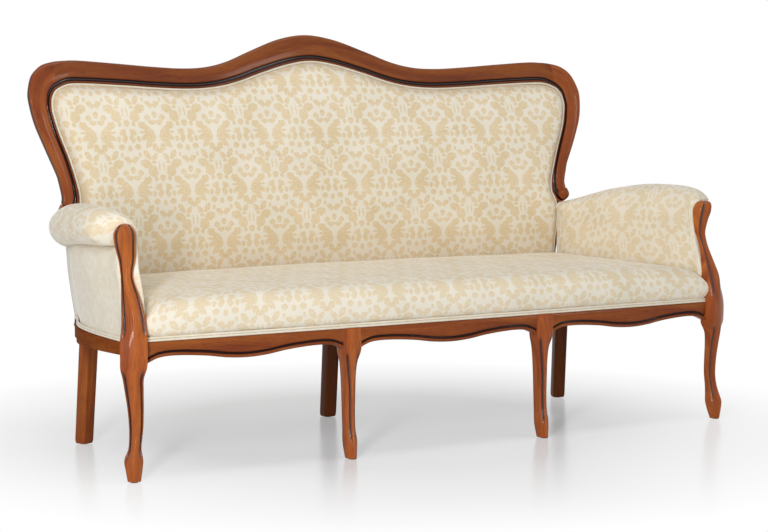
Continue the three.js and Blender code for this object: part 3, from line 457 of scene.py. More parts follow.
leg_walnut = polished_walnut("walnut_legs", 1.25)
post_steps = [*spread(0, 0.12, 16), *spread(0.126, 0.9, 76), *spread(0.906, 0.97, 12)]
post_steps += spread(0.974, 1, 14)
post = carved_leg(POST_ROWS, POST_HEIGHT, POST_HALF_WIDTH, POST_DEPTH, (POST_SPREAD, 0), POST_TURN,
                  post_flute, post_steps)
MIDDLE_SPREAD = POST_SPREAD / 3
leg = carved_leg(MIDDLE_ROWS, RAIL_TOP, LEG_HALF_WIDTH, LEG_DEPTH,
                 (MIDDLE_SPREAD, front_face(MIDDLE_SPREAD)), 0, leg_flute, spread(0, 1, 80))
for name, node_name, shape in (("post_carved", "front_post", post), ("leg_carved", "front_leg", leg)):
    for side, sided in left_and_right(shape):
        piece = piece_of(f"{name}_{side}", sided, leg_walnut)
        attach(piece, "root")
        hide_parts(f"{node_name}_{side}")

# FRONT RAILS
# Three shaped rails tenoned between the legs, sawn from solid walnut with a bowed front. Their lower edge
# follows a double curve and carries a bead below a stained hollow.
APRON_DEPTH = 0.051
APRON_ROWS = [
    (0, .98), (.03, .84), (.06, .75), (.11, .71), (.19, .73), (.3, .83), (.4, .98), (.5, 1.04), (.6, .98),
    (.7, .83), (.81, .73), (.89, .71), (.94, .77), (.97, .88), (1, 1.02)]
# Section: depth behind the face, then a height counted from the top (negative) or from the lower edge
APRON_SECTION = [
    (.026, -.0002, 0), (.003, -.0002, 0), (.0009, -.001, 0), (0, -.003, 0), (-.0006, -.012, 0),
    (-.0006, .021, 0), (-.0002, .0165, 0), (.0006, .0148, .3), (.0026, .0132, .9), (.0042, .0118, 1),
    (.0046, .0104, 1), (.0036, .0092, 1), (.001, .0082, .5), (-.0012, .0068, 0), (-.0022, .005, 0),
    (-.0018, .003, 0), (-.0002, .0012, 0), (.003, .0002, 0), (.01, .0003, 0), (.026, .0008, 0)]


def front_rail(start, end, edge_end):
    rings = []
    for x in spread(start, end, 110):
        low = RAIL_TOP - APRON_DEPTH * row_at(APRON_ROWS, (x - start) / (edge_end - start))[0]
        face = POSTS_PLANE + front_face(x)
        rings.append([Vector((x, face + deep, height + (RAIL_TOP if height < 0 else low)))
                      for deep, height, _ in APRON_SECTION])
    return skin(rings, lambda i, j: APRON_SECTION[j][2])


rail_walnut = polished_walnut("walnut_rails", 0.9, 0.16)
bay = MIDDLE_SPREAD + LEG_HALF_WIDTH
outer_bay = front_rail(bay, POST_SPREAD - 0.004, POST_SPREAD - POST_HALF_WIDTH)
inner_bay = MIDDLE_SPREAD - LEG_HALF_WIDTH
for name, node_name, shape in (
        ("apron_left", "front_rail_left", mirrored(outer_bay)),
        ("apron_right", "front_rail_right", outer_bay),
        ("apron_middle", "front_rail_centre", front_rail(-inner_bay, inner_bay, inner_bay))):
    piece = piece_of(name, shape, rail_walnut)
    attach(piece, "root")
    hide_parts(node_name)

# SIDE RAILS
# Walnut rails bent in plan, from the posts back to the rear legs, with softly rounded edges and ends.
SEAT_DEPTH = 0.53
SIDE_THICKNESS, SIDE_FRONT_DEPTH, SIDE_REAR_DEPTH, SIDE_ROUND = 0.024, 0.03, 0.048, 0.0035
SIDE_LINE = [
    (0, 1.014), (.075, 1.018), (.26, 1.012), (.43, 1.002), (.58, .988), (.69, .972), (.78, .953),
    (.86, .931), (.94, .91), (1.02, .893), (1.07, .881), (1.14, .868)]
SIDE_END, END_ROUND = 1.07, 0.008


def side_line(y):
    return POST_SPREAD * row_at(SIDE_LINE, y / SEAT_DEPTH)[0]


side_rings = []
for share in [*spread(0.01, 1.045, 60), 1.053, 1.06, 1.066, SIDE_END]:
    y = share * SEAT_DEPTH
    low = RAIL_TOP - SIDE_FRONT_DEPTH - (SIDE_REAR_DEPTH - SIDE_FRONT_DEPTH) * share
    gone = max(y - (SIDE_END * SEAT_DEPTH - END_ROUND), 0) / END_ROUND
    drawn = END_ROUND * (1 - math.sqrt(max(1 - gone * gone, 0)))
    outer = side_line(y) - drawn * 0.4
    side_rings.append(rounded_ring(outer - SIDE_THICKNESS, outer, low + drawn, RAIL_TOP, SIDE_ROUND, y,
                                   lambda x, z, y: Vector((x, POSTS_PLANE + y, z))))
side_rail = skin(side_rings)
side_walnut = polished_walnut("walnut_side_rails", 0.84, 0.03, 0.0)
for side, shape in left_and_right(side_rail):
    piece = piece_of(f"side_rail_shaped_{side}", shape, side_walnut)
    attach(piece, "root")
    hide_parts(f"side_rail_{side}")

# REAR LEGS
# Three plain, tapered legs of square section with rounded arrises, glued and screwed to the rear rail. The
# corner ones are raked backwards and splayed a little.
REAR_HEAD, REAR_FOOT, REAR_RAKE, REAR_ROUND = 0.037, 0.035, 0.027, 0.0035
FIT = 0.0003
# Where a leg's head stands to the side and behind the posts, how far its foot is splayed, and its turn
CORNER_LEG, MIDDLE_LEG = (0.758, 0.529, 0.008, -20), (0, 0.577, 0, 0)


def rear_leg(spread_out, place, splay, turn):
    across, along = ray(turn)
    rings = []
    for share in [0, 0.012, 0.03, 0.06, *spread(0.1, 1, 14)]:
        z = GLIDE + share * (RAIL_TOP - GLIDE - FIT)
        half = (REAR_FOOT + (REAR_HEAD - REAR_FOOT) * share) / 2 - GLIDE * max(1 - share / 0.03, 0) ** 2
        x, y = spread_out + splay * (1 - share), POSTS_PLANE + place + REAR_RAKE * (1 - share)
        rings.append(rounded_ring(-half, half, -half, half, REAR_ROUND, z, lambda a, b, z: Vector((
            x + a * across - b * along, y + a * along + b * across, z))))
    return skin(rings)


corner_walnut = polished_walnut("walnut_rear_legs", 1.0, 0.1)
# Painted shade: a darker, duller copy of the walnut for the middle and right rear legs, which stand in
# shade behind and under the seat
painted_shade_walnut = polished_walnut("walnut_painted_shade", 0.45, 0.05)
corner_leg = rear_leg(*CORNER_LEG)
for name, node_name, shape, walnut in (
        ("rear_leg_shaped_left", "rear_leg_left", mirrored(corner_leg), corner_walnut),
        ("rear_leg_shaped_right", "rear_leg_right", corner_leg, painted_shade_walnut),
        ("rear_leg_shaped_middle", "rear_leg_middle", rear_leg(*MIDDLE_LEG), painted_shade_walnut)):
    piece = piece_of(name, shape, walnut)
    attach(piece, "root")
    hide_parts(node_name)

# COVER
# One damask for all the upholstery: an ivory satin ground with a gold-beige figure of heart-shaped
# palmettes among leaves and florets, set in brick rows.
HALF_REPEAT, ROW_HEIGHT = 88.5, 144.5
# All in millimetres: a palmette's bare heart, then a bare spot and the woven parts, each as its place
# across and up from the palmette's middle, its half length, half width and turn
HEART_HALF_WIDTH, HEART_DROP, HEART_HEIGHT = 14.0, 22.0, 34.0
BARE_SPOT = (0, -41, 4.5, 5, 0)
LEAVES = [
    (0, 42, 8, 8, 0), (22, 34.5, 8.5, 8, 0), (12, 22, 10.5, 6, 0), (41, 14, 12, 9.5, 20),
    (43, -4, 9.5, 3.6, -8), (38.5, -17, 13.5, 7, -30), (28, -32, 16, 8.5, -55), (16.5, -6, 17, 6.5, 56),
    (27, 0, 13, 10, 0), (24, -14, 13, 10, -20), (13, -24, 6.5, 4.5, -40), (12, -43, 9.5, 9.5, 0),
    (0, -53, 12, 5, 0), (16.5, -68, 11, 6.5, -50), (72, 76.5, 11, 6.5, 50), (66.5, 62, 7.5, 3.5, 0),
    (82.2, 51, 2.8, 13, 0), (60.5, 38, 14.5, 14.5, 0), (88.5, 21, 8.5, 8.5, 0), (68, 17.5, 5.5, 7, 0),
    (73, -3.5, 10.5, 7.5, 40), (77.3, -20.5, 11.5, 7, 70), (59, -22, 5.5, 7.5, 0), (63.5, -42, 9.5, 7.5, 0),
    (88.5, -45, 6, 8, 0), (39.5, -63.5, 14, 7.5, 50), (49, 81, 14, 7.5, -50), (61.5, -62, 4, 6.5, 0),
    (77.5, -75, 11.5, 7.5, -45), (11, 69.5, 11.5, 7.5, 45), (42, 58, 16, 11, -15)]


def sum_of(tree, operation, *values):
    """The output of a Math node on plain values or other outputs."""
    return feed(tree, "Math", dict(enumerate(values)), operation=operation)


def eased(tree, value, low, high):
    """0 at low and 1 at high, along a value."""
    return feed(tree, "MapRange", {"Value": value, "From Min": low, "From Max": high},
                interpolation_type="SMOOTHSTEP")


def away_from(tree, figure, x, y, wide, high, turn):
    """How far the cloth's points lie from the middle of a leaf: 1 at the leaf's edge."""
    leaf = feed(tree, "Mapping", {
        "Vector": figure, "Location": (x, y, 0), "Rotation": (0, 0, math.radians(turn)),
        "Scale": (wide, high, 1)}, vector_type="TEXTURE")
    return node(tree, "VectorMath", {0: leaf}, operation="LENGTH").outputs["Value"]


def damask_figure(tree, lay):
    """1 on the figure and 0 on the ground, from the cloth's own length and width in metres."""
    place = node(tree, "SeparateXYZ", {"Vector": lay})
    along = sum_of(tree, "MULTIPLY", place.outputs["X"], 1000.0)
    up = sum_of(tree, "MULTIPLY", place.outputs["Y"], 1000.0)
    row = sum_of(tree, "ROUND", sum_of(tree, "DIVIDE", up, ROW_HEIGHT))
    up = sum_of(tree, "SUBTRACT", up, sum_of(tree, "MULTIPLY", row, ROW_HEIGHT))
    along = sum_of(tree, "MULTIPLY_ADD", row, HALF_REPEAT, along)
    across = sum_of(tree, "PINGPONG", along, HALF_REPEAT)
    figure = feed(tree, "CombineXYZ", {"X": across, "Y": up})
    for scale, ragged in ((0.14, 5.0), (0.34, 4.0), (0.8, 2.4)):
        rough = node(tree, "TexNoise", {"Vector": figure, "Scale": scale, "Detail": 0.0})
        rough = feed(tree, "VectorMath", {0: rough.outputs["Color"], 1: (0.5, 0.5, 0.5)},
                     operation="SUBTRACT")
        figure = feed(tree, "VectorMath", {0: rough, 1: (ragged, ragged, 0), 2: figure},
                      operation="MULTIPLY_ADD")
    nearest = None
    for leaf in LEAVES:
        away = away_from(tree, figure, *leaf)
        nearest = sum_of(tree, "MINIMUM", nearest, away) if nearest else away
    place = node(tree, "SeparateXYZ", {"Vector": figure})
    wide, high = (sum_of(tree, "DIVIDE", place.outputs[way], HEART_HALF_WIDTH) for way in ("X", "Y"))
    low = sum_of(tree, "DIVIDE", sum_of(tree, "ADD", place.outputs["Y"], HEART_DROP), HEART_HEIGHT)
    heart = sum_of(tree, "MAXIMUM", sum_of(tree, "ADD", sum_of(tree, "SUBTRACT", wide, low), 1.0), high)
    spot = away_from(tree, figure, *BARE_SPOT)
    bare = sum_of(tree, "MULTIPLY", eased(tree, heart, 0.86, 1.02), eased(tree, spot, 0.8, 1.1))
    vein = feed(tree, "TexNoise", {"Vector": figure, "Scale": 0.26, "Detail": 1.0})
    vein = sum_of(tree, "ABSOLUTE", sum_of(tree, "SUBTRACT", vein, 0.5))
    vein = feed(tree, "MapRange", {"Value": vein, "From Max": 0.07, "To Min": 0.25})
    filled = eased(tree, nearest, 1.12, 0.95)
    return sum_of(tree, "MULTIPLY", sum_of(tree, "MULTIPLY", filled, bare), vein)


def damask_cloth(name, contrast):
    """The damask. A contrast below 1 weakens the figure against the ground: painted sheen, standing in for
    the satin catching the light.
    Where a piece carries it, the attribute read here mixes in a brown painted shade towards the tacked
    edges."""
    material = new_material(name)
    tree = material.node_tree
    lay = feed(tree, "UVMap", uv_map="surface")
    figure = damask_figure(tree, lay)
    threads = []
    for scale in ((260, 2600, 1), (2600, 260, 1)):
        way = feed(tree, "Mapping", {"Vector": lay, "Scale": scale})
        threads.append(feed(tree, "TexNoise", {"Vector": way, "Scale": 1.0, "Detail": 2.0}))
    weave = sum_of(tree, "MULTIPLY", *threads)
    shade = feed(tree, "TexNoise", {"Vector": lay, "Scale": 9.0, "Detail": 2.0})
    ground = ramp(tree, shade, [(0.35, (0.81, 0.75, 0.62)), (0.65, (0.86, 0.80, 0.68))])
    gold = ramp(tree, shade, [(0.35, (0.72, 0.56, 0.32)), (0.65, (0.78, 0.62, 0.38))])
    depth = sum_of(tree, "MULTIPLY", figure, contrast)
    colour = feed(tree, "MixRGB", {"Fac": depth, "Color1": ground, "Color2": gold})
    grey = feed(tree, "MapRange", {
        "Value": weave, "From Min": 0.1, "From Max": 0.4, "To Min": 0.9, "To Max": 1.04})
    colour = feed(tree, "MixRGB", {"Fac": 1.0, "Color1": colour, "Color2": grey}, blend_type="MULTIPLY")
    # Painted shade: a brown mixed in by the attribute towards the tacked edges of the back and on its cord
    edge = node(tree, "Attribute", attribute_name="stain_and_shade").outputs["Fac"]
    colour = feed(tree, "MixRGB", {"Fac": edge, "Color1": colour, "Color2": (0.42, 0.28, 0.16, 1)})
    rough = feed(tree, "MapRange", {"Value": figure, "To Min": 0.5, "To Max": 0.62})
    height = sum_of(tree, "MULTIPLY_ADD", figure, 0.6, weave)
    relief = feed(tree, "Bump", {"Height": height, "Strength": 0.14, "Distance": 0.0006})
    cloth = feed(tree, "BsdfPrincipled", {
        "Base Color": colour, "Roughness": rough, "Normal": relief, "Sheen Weight": 0.25,
        "Sheen Roughness": 0.4, "Specular IOR Level": 0.35})
    node(tree, "OutputMaterial", {"Surface": cloth})
    return material


# Copies with a weaker figure are painted sheen, standing in for the satin catching the light: a little on
# the seat and arms, most on the cords
damask = damask_cloth("damask", 1.0)
seat_damask = damask_cloth("damask_seat", 0.8)
faint_damask = damask_cloth("damask_faint", 0.3)

# SEAT
# A sprung and padded seat, fixed to the rails: the cover is drawn over a rounded front edge and tacked
# below a double welt that lies on the front rail.
SEAT_BASE, SEAT_HEIGHT, SEAT_DIP, SEAT_DIP_POWER, SEAT_TO_BACK = 0.3306, 0.109, 0.35, 8, 0.0215
SEAT_CORNER, SEAT_BULGE, SEAT_OVERHANG, SEAT_CLEAR, SEAT_AHEAD = 0.012, 0.012, 0.0085, 0.003, 0.018
WELT, WELT_HALF_LENGTH = 0.003, POST_SPREAD - 0.036
# Inset from the outline in metres, share of the way from the middle, lift as a share of the height
SEAT_LEVELS = [
    (.024, .3, .03), (.024, .7, .03), (.024, 1, .03), (.021, 1, .05), (.0145, 1, .085), (.0075, 1, .11),
    (.0035, 1, .145), (.001, 1, .19), (0, 1, .25), (-.0008, 1, .36), (0, 1, .48), (.0025, 1, .6),
    (.0075, 1, .72), (.0145, 1, .82), (.024, 1, .895), (.037, 1, .94), (.054, 1, .968), (.054, .93, .978),
    (.054, .84, .986), (.054, .72, .993), (.054, .6, .998),
    *((.054, share, 1) for share in (.48, .36, .24, .12, .03))]
ARM_TOP, ROLL_HALF_WIDTH, PANEL_LEAN, ARM_THICKNESS = 0.643, 0.056, 0.019, 0.022
# Place from post to stile, then shares: top and underside of the roll, its middle, the inner face, its
# half width, the outer panel's lean and the pad's thickness
ARM_ROWS = [
    (0, .948, .862, 1.012, .962, .88, -.3, 1), (.03, .97, .857, 1.014, .959, .94, -.25, 1),
    (.078, .986, .855, 1.016, .954, .96, -.2, 1), (.16, .996, .852, 1.015, .942, .96, .1, 1),
    (.3, 1, .848, 1.009, .928, .98, .6, 1), (.5, .995, .837, .9955, .912, 1, 1, 1),
    (.66, .976, .824, .973, .898, .96, 1, .95), (.753, .96, .815, .954, .89, .86, 1, .85),
    (.846, .938, .808, .931, .882, .72, 1, .65), (.93, .917, .81, .907, .8755, .58, 1, .4),
    (1, .902, .82, .888, .87, .42, 1, .15)]


def arm_at(share):
    top, under, middle, inner, half, lean, thick = row_at(ARM_ROWS, share)
    return (top * ARM_TOP, under * ARM_TOP, middle * POST_SPREAD, inner * POST_SPREAD,
            half * ROLL_HALF_WIDTH, lean * PANEL_LEAN, thick * ARM_THICKNESS)


def closed(half):
    """A closed outline from its right-hand half, which starts and ends on the middle line."""
    return half + [Vector((-p.x, p.y)) for p in reversed(half[1:-1])]


def outward(outline):
    """Directions square to a closed outline, lengthened at its corners so that an even inset stays even."""
    count = len(outline)
    area = sum(outline[i].cross(outline[(i + 1) % count]) for i in range(count))
    directions = []
    for i, p in enumerate(outline):
        ahead = (outline[(i + 1) % count] - p).normalized()
        before = (p - outline[i - 1]).normalized()
        both = (ahead + before).normalized()
        square = Vector((both.y, -both.x)) * math.copysign(1, area)
        directions.append(square / max(both.dot(ahead), 0.5))
    return directions


def drawn_in(outline):
    """Gives the outline moved in by any inset."""
    directions = outward(outline)
    return lambda inset: [p - d * inset for p, d in zip(outline, directions)]


def padded_form(outline_at, middle, levels, place):
    """Rings of a crowned pad, and where each of their points lies on the flat cloth."""
    crown = max(inset for inset, share, _ in levels if share == 1)
    starts = next(i for i, level in enumerate(levels) if level[0] == crown and level[1] == 1)
    plans = [[middle + (p - middle) * share for p in outline_at(inset)] for inset, share, _ in levels]
    rings = [[place(p, level[2]) for p in plan] for plan, level in zip(plans, levels)]
    edge = plans[starts]
    directions, run, count = outward(edge), [0.0] * len(edge), len(edge)
    cloth = plans[starts:]
    for i in reversed(range(starts)):
        run = [r + (a - b).length for r, a, b in zip(run, rings[i], rings[i + 1])]
        cloth.insert(0, [p + d * r for p, d, r in zip(edge, directions, run)])
    return rings, lambda i, j: cloth[i][j % count]


def soften(bm, amount, size, seed):
    """Small swells and hollows of stuffing under a drawn cover."""
    bm.normal_update()
    for v, normal in [(v, v.normal.copy()) for v in bm.verts]:
        v.co += normal * amount * noise.noise(v.co / size + Vector((seed, 0, 0)))


def rear_line(x):
    return back_face(x, SWEEP_FOOT) - SEAT_TO_BACK


def seat_outline(inset):
    """The seat's outline in plan, moved in by an inset, with rounded front corners."""
    radius = max(SEAT_CORNER - inset * 0.2, 0.004)
    half = arm_at(0)[3] - SEAT_CLEAR - inset
    low = front_face(half) - SEAT_OVERHANG + inset
    right = [Vector((x, front_face(x) - SEAT_OVERHANG + inset)) for x in spread(0, half - radius, 32)]
    centre = Vector((half - radius, low + radius))
    right += [centre + ray(turn) * radius for turn in spread(-90, 0, 6)[1:]]
    high = rear_line(arm_at(1)[3]) - inset
    for share in spread(0, 1, 26)[1:]:
        y = low + radius + (high - low - radius) * share
        beside = arm_at(max(y + SEAT_AHEAD, 0) / (high + inset + SEAT_AHEAD))
        right.append(Vector((beside[3] - SEAT_CLEAR - inset, y)))
    corner = right[-1].x
    right += [Vector((x, rear_line(x) - inset)) for x in spread(corner, 0, 28)[1:]]
    return closed(right)


def on_seat(p, lift):
    side = abs(p.x / POST_SPREAD) ** SEAT_DIP_POWER
    near = 1 - min(max(p.y / SEAT_DEPTH, 0), 1)
    swell = SEAT_BULGE * rise(abs(p.x), 0.78, 0.85) * (1 - rise(p.y, -0.012, 0.02))
    swell *= between(lift, 0.06, 0.42, 0.62, 0.92)
    return Vector((p.x + math.copysign(swell, p.x), POSTS_PLANE + p.y,
                   SEAT_BASE + SEAT_HEIGHT * lift * (1 - SEAT_DIP * side * near)))


seat_rings, seat_cloth = padded_form(seat_outline, Vector((0, SEAT_DEPTH / 2)), SEAT_LEVELS, on_seat)
seat = skin(seat_rings, cut=seat_cloth)
soften(seat, 0.0016, 0.16, 3)
seat = piece_of("seat_upholstered", seat, seat_damask, 80)
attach(seat, "root")
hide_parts("seat_pad")


def cord_rings(points, radius, up, sides=10):
    rings = []
    for i, p in enumerate(points):
        ahead = (points[min(i + 1, len(points) - 1)] - points[max(i - 1, 0)]).normalized()
        side = ahead.cross(up).normalized()
        top = side.cross(ahead)
        rings.append([p + (side * x + top * y) * radius for x, y in map(ray, spread(0, 360, sides)[:-1])])
    return rings


upright = Vector((0, 0, 1))
seat_welt = None
for deep, height in ((0.0026, 0.0032), (0.0034, 0.0092)):
    line = [Vector((x, POSTS_PLANE + front_face(x) + deep, RAIL_TOP + height))
            for x in spread(-WELT_HALF_LENGTH, WELT_HALF_LENGTH, 120)]
    seat_welt = skin(cord_rings(line, WELT, upright), into=seat_welt)
seat_welt = piece_of("seat_double_welt", seat_welt, faint_damask)
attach(seat_welt, "root")
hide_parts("seat_welt")

# INSIDE BACK
# A sprung and padded back within the show-wood frame. The cover is drawn over a full crown to the frame's
# inner edge, where a cord covers the tacks; its foot is tucked down behind the seat.
BACK_FOOT, BACK_SIDE, CORD_INSET, CORD_SUNK = 0.362, 0.771, 0.0036, 0.0008
# The cloth on the back: how far it is shifted, and how far a palmette leans and about which height
SHIFT_ACROSS, SHIFT_UP, FIGURE_LEAN, FIGURE_HEIGHT = 0.171, 0.06, 0.09, 0.805
BACK_MIDDLE = Vector((0, 0.7))
# How dark the painted shade on the back's cloth gets beside the cord, and at the foot behind the seat
EDGE_SHADE, FOOT_SHADE = 0.34, 0.2
BACK_LEVELS = [
    (.0075, .3, -.012), (.0075, .7, -.012), (.0075, 1, -.012), (.0064, 1, -.006), (.0064, 1, -.0005),
    (.0072, 1, .0025), (.0088, 1, .0062), (.0115, 1, .0102), (.0155, 1, .0143), (.0215, 1, .0183),
    (.0295, 1, .0214), (.04, 1, .0238), (.04, .95, .0252), (.04, .88, .0262), (.04, .8, .027),
    (.04, .7, .0276), (.04, .6, .028), (.04, .5, .0283), (.04, .4, .0285), (.04, .3, .0287),
    (.04, .2, .0288), (.04, .1, .0288), (.04, .03, .0288)]
right_places = spread(STEPS_EACH_SIDE, STEPS_EACH_SIDE * 2 - 1, 84)
right_edge = [line_at(inner_points, place) for place in right_places]
below = [Vector(p) for p in (
    (.767, .6), (.7745, .585), (.7785, .565), (.7785, .54), (.776, .505), (.7725, .47), (BACK_SIDE, .43),
    (BACK_SIDE, .395), (BACK_SIDE, BACK_FOOT))]
back_outline = closed(right_edge + below + [Vector((x, BACK_FOOT)) for x in spread(BACK_SIDE, 0, 18)[1:]])
back_rings, back_cloth = padded_form(drawn_in(back_outline), BACK_MIDDLE, BACK_LEVELS,
                                     lambda p, lift: on_back(p.x, p.y, -lift if lift > 0 else
                                                             0.0004 - lift * rise(p.y, 0.6, 0.63)))


def back_cut(i, j):
    """Where the cover was cut from the cloth, so that a row of palmettes stands level on the back."""
    p = back_cloth(i, j)
    return p.x + SHIFT_ACROSS + FIGURE_LEAN * (p.y - FIGURE_HEIGHT), p.y + SHIFT_UP


def back_painted_shade(i, j):
    """Painted shade on the back's cloth: strongest beside the cord, gone where the crown is full, and
    darker towards the foot behind the seat.
    """
    inset, share, _ = BACK_LEVELS[i]
    foot = FOOT_SHADE * (1 - rise(back_rings[i][j].z, 0.44, 0.56))
    return max(EDGE_SHADE * (1 - rise(inset, 0.009, 0.034)) * (share == 1), foot)


back = skin(back_rings, back_painted_shade, back_cut)
soften(back, 0.0014, 0.18, 11)
back = piece_of("back_upholstered", back, damask, 80)
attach(back, "root")
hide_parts("back_pad")

edge_line = drawn_in(back_outline)(CORD_INSET)[:len(right_edge) + len(below) - 1]
edge_welt = [on_back(p.x, p.y, -CORD_SUNK) for p in both_sides(edge_line)]
# The cord gets a little of the same brown painted shade as the cloth beside it
back_welt = skin(cord_rings(edge_welt, WELT, Vector((0, 1, 0))), lambda i, j: 0.2)
back_welt = piece_of("back_cord", back_welt, faint_damask)
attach(back_welt, "root")

# ARMS
# Each arm is padded over a rail between post and stile: a full roll on top, a thin pad on the inside, and
# a thinly wadded panel outside, closed by a hidden seam under the roll. Cords finish it at post and rail.
ARM_FOOT, ARM_REAR_FOOT, ARM_FRONT_END, ARM_REAR_END = 0.335, 0.41, 0.045, 0.575
PANEL_THICKNESS, PANEL_SWELL, PANEL_TUCK, PANEL_FLARE = 0.005, 0.003, 0.008, 0.011
PANEL_SEAM, PANEL_OVERLAP = 0.004, 0.0005
INSIDE_SHARE = 0.93
# The cords beside the post: where they lie along the arm, how far proud, and from how low to how high
CORD_PLACES, CORD_RIM, CORD_LOW, CORD_HIGH = (0.007, 0.0195), 0.0012, 0.396, 0.592
# Points of a section from under the roll to the foot of the inner face, and the one near the roll's top
ROLL_POINTS, OVER_THE_ROLL = 69, 30
ROLL_ANGLES = [-130, -105, -80, -55, -30, -5, 20, 45, 70, 95, 120, 145, 165]
INNER_FACE = [(.9, .4), (.72, .12), (.45, 0), (.2, 0), (0, 0)]


def inside_post(x, z):
    """Depth of a plane inside the post, level with a point."""
    _, _, front, back, _ = row_at(POST_ROWS, z / POST_HEIGHT)
    turn = math.radians(POST_TURN)
    deep = -POST_DEPTH * (front - (front + back) * INSIDE_SHARE)
    return (x - POST_SPREAD) * math.tan(turn) + deep / math.cos(turn)


def on_arm(x, z, share):
    front = inside_post(x, min(z, POST_HEIGHT))
    return Vector((x, POSTS_PLANE + front + (ARM_REAR_END - front) * share, z))


def arm_ring(share):
    top, under, middle, inner, half, _, thick = arm_at(share)
    centre, lift = (top + under) / 2, (top - under) / 2
    foot = ARM_FOOT + (ARM_REAR_FOOT - ARM_FOOT) * share
    line = [Vector((middle + half * x, centre + lift * y)) for x, y in map(ray, ROLL_ANGLES)]
    line += [Vector((inner + (middle - half - inner) * out, foot + (centre - foot) * high))
             for high, out in INNER_FACE]
    skinline = [line_at(line, place) for place in spread(0, len(line) - 1, ROLL_POINTS - 1)]
    lining = [Vector((inner + thick, foot)), Vector((inner + thick, foot + (centre - foot) * 0.5)),
              Vector((inner + thick * 1.3, under))]
    return [on_arm(p.x, p.y, share) for p in skinline + lining]


arm_shares = [*spread(0, 0.1, 12), *spread(0.115, 0.9, 50), *spread(0.91, 1, 8)]
arm_rings = [arm_ring(share) for share in arm_shares]
run, girths = [0.0], []
for i, ring in enumerate(arm_rings):
    if i:
        run.append(run[-1] + (ring[OVER_THE_ROLL] - arm_rings[i - 1][OVER_THE_ROLL]).length)
    girth = [0.0]
    for p, q in zip(ring, ring[1:] + ring[:1]):
        girth.append(girth[-1] + (p - q).length)
    girths.append(girth)
arm = skin(arm_rings, cut=lambda i, j: (run[i], girths[i][OVER_THE_ROLL] - girths[i][j]))
soften(arm, 0.0014, 0.12, 21)


def panel_face(share, high):
    lean = arm_at(share)[5]
    y = ARM_FRONT_END + (ARM_REAR_END - ARM_FRONT_END) * share
    tucked = PANEL_TUCK * rise(high, 0.95, 1)
    lean += PANEL_FLARE * share * share
    swell = PANEL_SWELL * 4 * high * (1 - high)
    return side_line(y) - (WELT + FIT) * 2 + lean * high + swell - tucked


panel_rings = []
for share in spread(0, 1, 50):
    low, high = RAIL_TOP + FIT, arm_at(share)[1] + PANEL_SEAM
    levels = [(panel_face(share, up), low + (high - low) * up) for up in spread(0, 1, 16)]
    inside = [(x - PANEL_THICKNESS, z) for x, z in reversed(levels)]
    panel_rings.append([on_arm(x, z, share) for x, z in levels + inside])
for p in panel_rings[-1]:
    p.y = on_back(p.x, p.z, -PANEL_OVERLAP).y
panel = skin(panel_rings)

arm_cord = None
for share in CORD_PLACES:
    inner_face = arm_ring(share)[OVER_THE_ROLL:ROLL_POINTS]
    line = [p - Vector((CORD_RIM, 0, 0)) for p in inner_face if CORD_LOW < p.z < CORD_HIGH]
    arm_cord = skin(cord_rings(line, WELT * 1.1, Vector((0, 1, 0))), into=arm_cord)
side_cord = None
for out, height in ((WELT + FIT, WELT + FIT), (WELT + 0.001, WELT * 3)):
    line = []
    for share in spread(0.06, 1.068, 60):
        y = share * SEAT_DEPTH
        line.append(Vector((side_line(y) - out, POSTS_PLANE + y, RAIL_TOP + height)))
    side_cord = skin(cord_rings(line, WELT, upright), into=side_cord)
# The arms' copy: a weaker figure as painted sheen
arm_damask = damask_cloth("damask_arms", 0.75)
for name, node_name, shape, fill in (
        ("arm_upholstered", "arm_pad", arm, 0.9), ("arm_outer_panel", "arm_panel", panel, 1.0),
        ("arm_cord", "arm_welt", arm_cord, None), ("side_double_welt", "side_welt", side_cord, None)):
    for side, sided in left_and_right(shape):
        piece = piece_of(f"{name}_{side}", sided, arm_damask if shape is arm else faint_damask, 80)
        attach(piece, "root")
        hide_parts(f"{node_name}_{side}")

# OUTSIDE BACK
# The rear of the back is closed with the same cloth over thin wadding, drawn flat over the frame and
# tacked under its own edge.
COVER_FROM, COVER_FOOT, COVER_SIDE = 0.0372, 0.3, 0.759
cover_edge = [line_at(outer_points, place) for place in spread(STEPS_EACH_SIDE, STEPS_EACH_SIDE * 2, 84)]
cover_below = [Vector((COVER_SIDE, z)) for z in spread(0.52, COVER_FOOT, 6)]
cover_below += [Vector((x, COVER_FOOT)) for x in spread(COVER_SIDE, 0, 18)[1:]]
cover_outline = closed(cover_edge + cover_below)
COVER_LEVELS = [
    (.0165, .03, 0), (.0165, .4, 0), (.0165, .8, 0), (.0165, 1, 0), (.0165, 1, .003), (.018, 1, .0044),
    (.0205, 1, .005), (.0205, .9, .0052), (.0205, .8, .0053),
    *((.0205, share, .0054) for share in (.7, .6, .5, .4, .3, .2, .1, .03))]
cover_rings, cover_cloth = padded_form(drawn_in(cover_outline), BACK_MIDDLE, COVER_LEVELS,
                                       lambda p, lift: on_back(p.x, p.y, COVER_FROM + lift))
cover = piece_of("outside_back_cover", skin(cover_rings, cut=cover_cloth), damask, 80)
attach(cover, "root")
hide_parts("outside_back")

# FRAME BELOW THE COVERS
# Beech rails, braces and blocks that nobody sees from the front, woven jute webbing, a black dust cover,
# steel bolts and nylon glides under the feet. They keep the solids' shapes.


